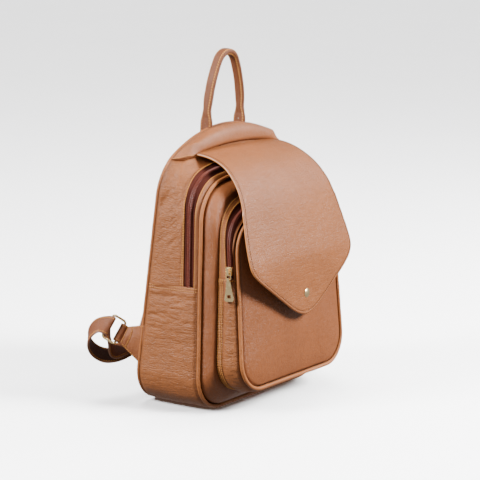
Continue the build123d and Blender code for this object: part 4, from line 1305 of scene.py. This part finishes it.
def straps(side_name, mirror):
    """The shoulder strap from its sewn top end to the ring, and its return to the glide."""
    level = np.array([1.0, 0.0, 0.0])
    on_turn = np.array([0.68, 0.49, 0.54])
    strap_bar = RING_BAR_AT - RING_ACROSS * RING_SHORT
    out = np.cross(RING_ACROSS, RING_BAR_AXIS) * FOLD_R
    gap = GLIDE_OUT * RETURN_GAP
    low_down = GLIDE_AT - GLIDE_ALONG * 42 + np.array([3.0, -1.0, 0.0])
    stations = [
        ([-21, 25.3, 300], level), ([-24, 27.5, 290], level),
        ([-28.2, 34.6, 276], level), ([-39, 45, 244], level),
        (GLIDE_AT + GLIDE_ALONG * 40, level), (GLIDE_AT + GLIDE_ALONG * 14, [1, 0, 0.1]),
        (GLIDE_AT - GLIDE_ALONG * 14, [1, 0, 0.1]), (low_down, [1, 0.03, 0.12]),
        ([-85, 72, 92], [0.9, 0.3, -0.2]), ([-104, 80, 63], [0.65, 0.7, 0.1]),
    ]
    stations += [(turn(angle), on_turn) for angle in (282, 250, 220, 190, 160, 130, 106)]
    stations += [(strap_bar + out, RING_BAR_AXIS), (strap_bar + RING_ACROSS * FOLD_R, RING_BAR_AXIS)]
    stations = [(np.array(p, float), np.array(s, float)) for p, s in stations]
    start = (0, 0.03, 0.292)    # in metres: two heights along the strap
    end = (0, 0.03, 0.262)
    body = side_name + "_strap"
    strap_piece(stations, body + "_leather", body, [body, body + "_end"], mirror,
                ("root", body, start, end))
    back = [
        (strap_bar + RING_ACROSS * 1.5 - out * 1.25, RING_BAR_AXIS),
        (TURN_AT + TURN_UP * 8 + TURN_ALONG * 2, on_turn),
        (TURN_AT - TURN_UP * 10 + TURN_ALONG * 2, on_turn),
        (turn(290, 6), on_turn), ([-120, 82, 65], [0.5, 0.7, 0.4]), ([-106, 82, 69], [0.65, 0.7, 0.1]),
        ([-86.7, 78, 93.5], [0.9, 0.3, -0.2]), (low_down + gap, level),
        (GLIDE_AT - GLIDE_ALONG * 28 + gap, level),
    ]
    back = [(np.array(p, float), np.array(s, float)) for p, s in back]
    strap_piece(back, body + "_return_leather", body, [body + "_return"], mirror)


def tab(side_name, mirror):
    """The leather tab in the side seam, and the loop that it holds round the ring's bar."""
    seam_x = -BACK_OUTLINE[0] + 5.0
    seam = np.array([[seam_x, BACK_FOOT_Y - BACK_LEAN * z - SEAM, z] for z in (TAB_LOW, TAB_HIGH)])
    outward = unit(RING_BAR_AT - seam.mean(0))
    half = RING_BAR_AXIS * (LOOP_WIDE / 2)
    near = RING_BAR_AT - outward * (LOOP_R + 0.3)
    far_edge = np.array([near - half, near + half])
    rows = spaced(34.0, 1.3)
    columns = spaced(24.0, 1.2)
    start = seam[0] + (seam[1] - seam[0]) * columns[:, None]
    finish = far_edge[0] + (far_edge[1] - far_edge[0]) * columns[:, None]
    grid = np.stack([mix(start, finish, t) for t in rows], 0)
    centre = seam.mean(0) + np.array([200.0, 40.0, 0.0])
    grid, centre = on_side(mirror, grid, centre)
    last, low_side, high_side = border_distances(grid)[1:]
    border = np.minimum.reduce([last, low_side, high_side])
    lift = 2.0 + 0.7 * np.exp(-((last - 4.5) / 3.2) ** 2) - 0.25 * groove(last, 9.5, 0.7)
    lift = lift + rough(grid, 9.0, 3.0) * 0.25 * ease(border / 3)
    piece = Piece()
    outer, normal = piece.shell(grid, TAB_THICK, lift, rounded(border, 1.6), edge=border * 2 + 1,
                                inside=centre)
    inner = outer - normal * (TAB_THICK - 0.1)
    for layer, facing in ((outer, normal), (inner, -normal)):
        piece.sew(layer, facing, [("left", 2.4), ("right", 2.4)], (2, -4), 2.8)
        piece.sew(layer, facing, [("bottom", row) for row in TAB_ROWS], (3, -3), 2.8)
    piece.make(side_name + "_tab_leather", [LEATHER_TAB, THREAD_GOLD], [side_name + "_strap_tab"])
    loop_round_bar(side_name, mirror, outward)


def loop_round_bar(side_name, mirror, outward):
    """A band that wraps the ring's bar and closes on itself towards the tab."""
    axis = RING_BAR_AXIS
    sideways = unit(np.cross(axis, outward))
    outer, inner = [], []
    for angle in np.linspace(math.radians(24), math.radians(336), 30):
        outer.append((-math.cos(angle) * LOOP_R, math.sin(angle) * LOOP_R))
        inner.append((-math.cos(angle) * 2.5, math.sin(angle) * 2.5))
    tail = [(-11.0, 1.1), (-8.0, 1.3), (-5.5, 1.5)]
    outer = tail + outer + [(x, -y) for x, y in reversed(tail)]
    inner = [(-10.9, 0.15), (-8, 0.15), (-5.5, 0.2)] + inner + [(-5.5, -0.2), (-8, -0.15), (-10.9, -0.15)]
    section = np.array(outer + inner[::-1])
    steps = spaced(LOOP_WIDE, 2.0, (0.25, 0.7, 1.4))
    line = RING_BAR_AT + axis * (LOOP_WIDE * (steps - 0.5))[:, None]
    shrink = 1 - 0.06 * np.exp(-np.minimum(steps, 1 - steps) * LOOP_WIDE / 0.35)
    sections = section[None] * shrink[:, None, None]
    side = np.broadcast_to(outward, line.shape)
    up = np.broadcast_to(sideways, line.shape)
    line, side, up = on_side(mirror, line, side, up)
    piece = Piece()
    piece.sweep(line, side, up, sections, edge=(np.minimum(steps, 1 - steps) * LOOP_WIDE * 2 + 1)[:, None])
    for sign in (-1, 1):
        for end in (2.0, LOOP_WIDE - 2.0):
            at = RING_BAR_AT + axis * (end - LOOP_WIDE / 2)
            arc = [at + outward * (-math.cos(a) * LOOP_R) + sideways * (math.sin(a) * LOOP_R)
                   for a in np.linspace(0.5, 2.6, 14) * sign]
            piece.stitches(*on_side(mirror, np.array(arc), unit(np.array(arc) - at)), pitch=2.6)
    piece.make(side_name + "_tab_loop_leather", [LEATHER_TAB, THREAD_GOLD], [side_name + "_tab_loop"],
               sharp=70.0)


def anchor_patch():
    """The leather patch that both straps run under, sewn to the back panel."""
    xs = spaced(92.0, 2.4)
    zs = spaced(34.0, 2.0)
    rows = mix(322.0, 288.0, zs)
    half = mix(40.0, 46.0, zs)
    grid = np.array([[(h * (2 * x - 1), BACK_FOOT_Y - BACK_LEAN * z + 3.4, z) for x in xs]
                     for z, h in zip(rows, half)])
    border = np.minimum.reduce(border_distances(grid))
    over_strap = np.exp(-((np.abs(grid[..., 0]) - 22) / 11) ** 4) * ease((312 - grid[..., 2]) / 14)
    over_strap = over_strap * mix(2.6, 4.6, ease((300 - grid[..., 2]) / 12))
    lift = over_strap + rough(grid, 14.0, 6.0) * 0.3
    piece = Piece()
    outer, normal = piece.shell(grid, WALL_THICK, lift, rounded(border, 1.1), edge=border * 2 + 1,
                                inside=(0.0, -200.0, 300.0))
    piece.sew(outer, normal, [(name, PATCH_ROW) for name in ("top", "bottom", "left", "right")], (3, -3))
    for row in (9, 12):
        piece.stitches(outer[row, 3:-3], normal[row, 3:-3])
    piece.make("anchor_patch_leather", [LEATHER_TAB, THREAD], ["anchor_patch"])


# ---- metal fittings and inner pieces, which keep their CAD shape ---------------------------
def keep_nodes():
    """Gives the CAD's own metal, foam, lining, board and rope pieces their materials, and bevels the
    sliders, pulls and glides.
    """
    finishes = {
        "back_foam": FOAM, "base_board": BOARD, "handle_core": ROPE,
        "main_lining": LINING, "inner_slip_pocket": LINING, "pocket_lining": LINING,
    }
    for owners, parts in ((("snap",), ("cap", "socket", "stud")), (("left", "right"), ("ring", "glide")),
                          (("pocket_zip", "main_zip"), ("slider", "link", "pull"))):
        finishes.update({owner + "_" + part: GOLD for owner in owners for part in parts})
    bevelled = [name for name in finishes if name.endswith(("_slider", "_pull", "_glide"))]
    for name, finish in finishes.items():
        node = NODES[name]
        node.data.materials.clear()
        node.data.materials.append(finish)
    for name in bevelled:
        thin = NODES[name].modifiers.new("flat faces", "DECIMATE")
        thin.decimate_type = "DISSOLVE"
        thin.angle_limit = math.radians(2)
        bevel = NODES[name].modifiers.new("rounded edges", "BEVEL")
        bevel.width = 0.0003
        bevel.segments = 2
        bevel.limit_method = "ANGLE"
        bevel.angle_limit = math.radians(40)


# ---- studio, in metres -------------------------------------------------------------------
CAMERA_AT = (-1.871, -1.345, 0.6206)
CAMERA_AIM = (-0.0232, -0.0241, 0.1975)
CAMERA_LENS = 139.5
SUN_AT = (0.35, 0.3, 2.0)
SKY_COLOUR = (1.0, 0.99, 0.97, 1.0)
SKY_STRENGTH = 0.44
LIT_POINT = (0.0, 0.0, 0.2)
SOFTBOXES = (
    ("front", (0.6, -2.0, 1.55), (0.8, 0.8), 210),
    ("left", (-1.8, 0.9, 1.7), (0.8, 0.6), 190),
    ("right", (1.5, -0.75, 1.35), (0.6, 0.5), 26),
)
FLOOR_HALF = 14.0
FLOOR_Z = -0.0004


def aim(thing, at, target):
    thing.location = at
    thing.rotation_mode = "QUATERNION"
    thing.rotation_quaternion = (Vector(target) - Vector(at)).to_track_quat("-Z", "Y")


def softbox(name, at, size, power):
    data = bpy.data.lights.new(name, "AREA")
    data.shape = "RECTANGLE"
    data.size, data.size_y = size
    data.energy = power
    aim(into_scene(name, data), at, LIT_POINT)


def studio():
    """White paper under a soft sky; the overhead sun lights the paper only."""
    floor = bpy.data.meshes.new("floor")
    corners = [(FLOOR_HALF * x, FLOOR_HALF * y, 0) for x, y in ((-1, -1), (1, -1), (1, 1), (-1, 1))]
    floor.from_pydata(corners, [], [(0, 1, 2, 3)])
    floor.materials.append(plain_floor("floor_paper"))
    ground = into_scene("floor", floor)
    ground.location.z = FLOOR_Z
    ground.visible_diffuse = False
    ground.visible_glossy = False
    world = bpy.data.worlds.new("studio")
    world.use_nodes = True
    background = world.node_tree.nodes["Background"]
    background.inputs["Color"].default_value = SKY_COLOUR
    background.inputs["Strength"].default_value = SKY_STRENGTH
    bpy.context.scene.world = world
    sun = bpy.data.lights.new("overhead", "SUN")
    sun.energy = 8.0
    sun.angle = math.radians(40)
    overhead = into_scene("overhead", sun)
    aim(overhead, SUN_AT, (0.0, 0.0, 0.0))
    paper = bpy.data.collections.new("paper")
    paper.objects.link(ground)
    overhead.light_linking.receiver_collection = paper
    for name, at, size, power in SOFTBOXES:
        softbox(name, at, size, power)
    camera = into_scene("camera", bpy.data.cameras.new("camera"))
    camera.data.lens = CAMERA_LENS
    camera.data.sensor_width = 36.0
    camera.data.clip_end = 100.0
    aim(camera, CAMERA_AT, CAMERA_AIM)
    bpy.context.scene.camera = camera


studio()
main_bag()
pocket()
flap()
handle()
for side_name, mirror in (("left", False), ("right", True)):
    straps(side_name, mirror)
    tab(side_name, mirror)
anchor_patch()
keep_nodes()
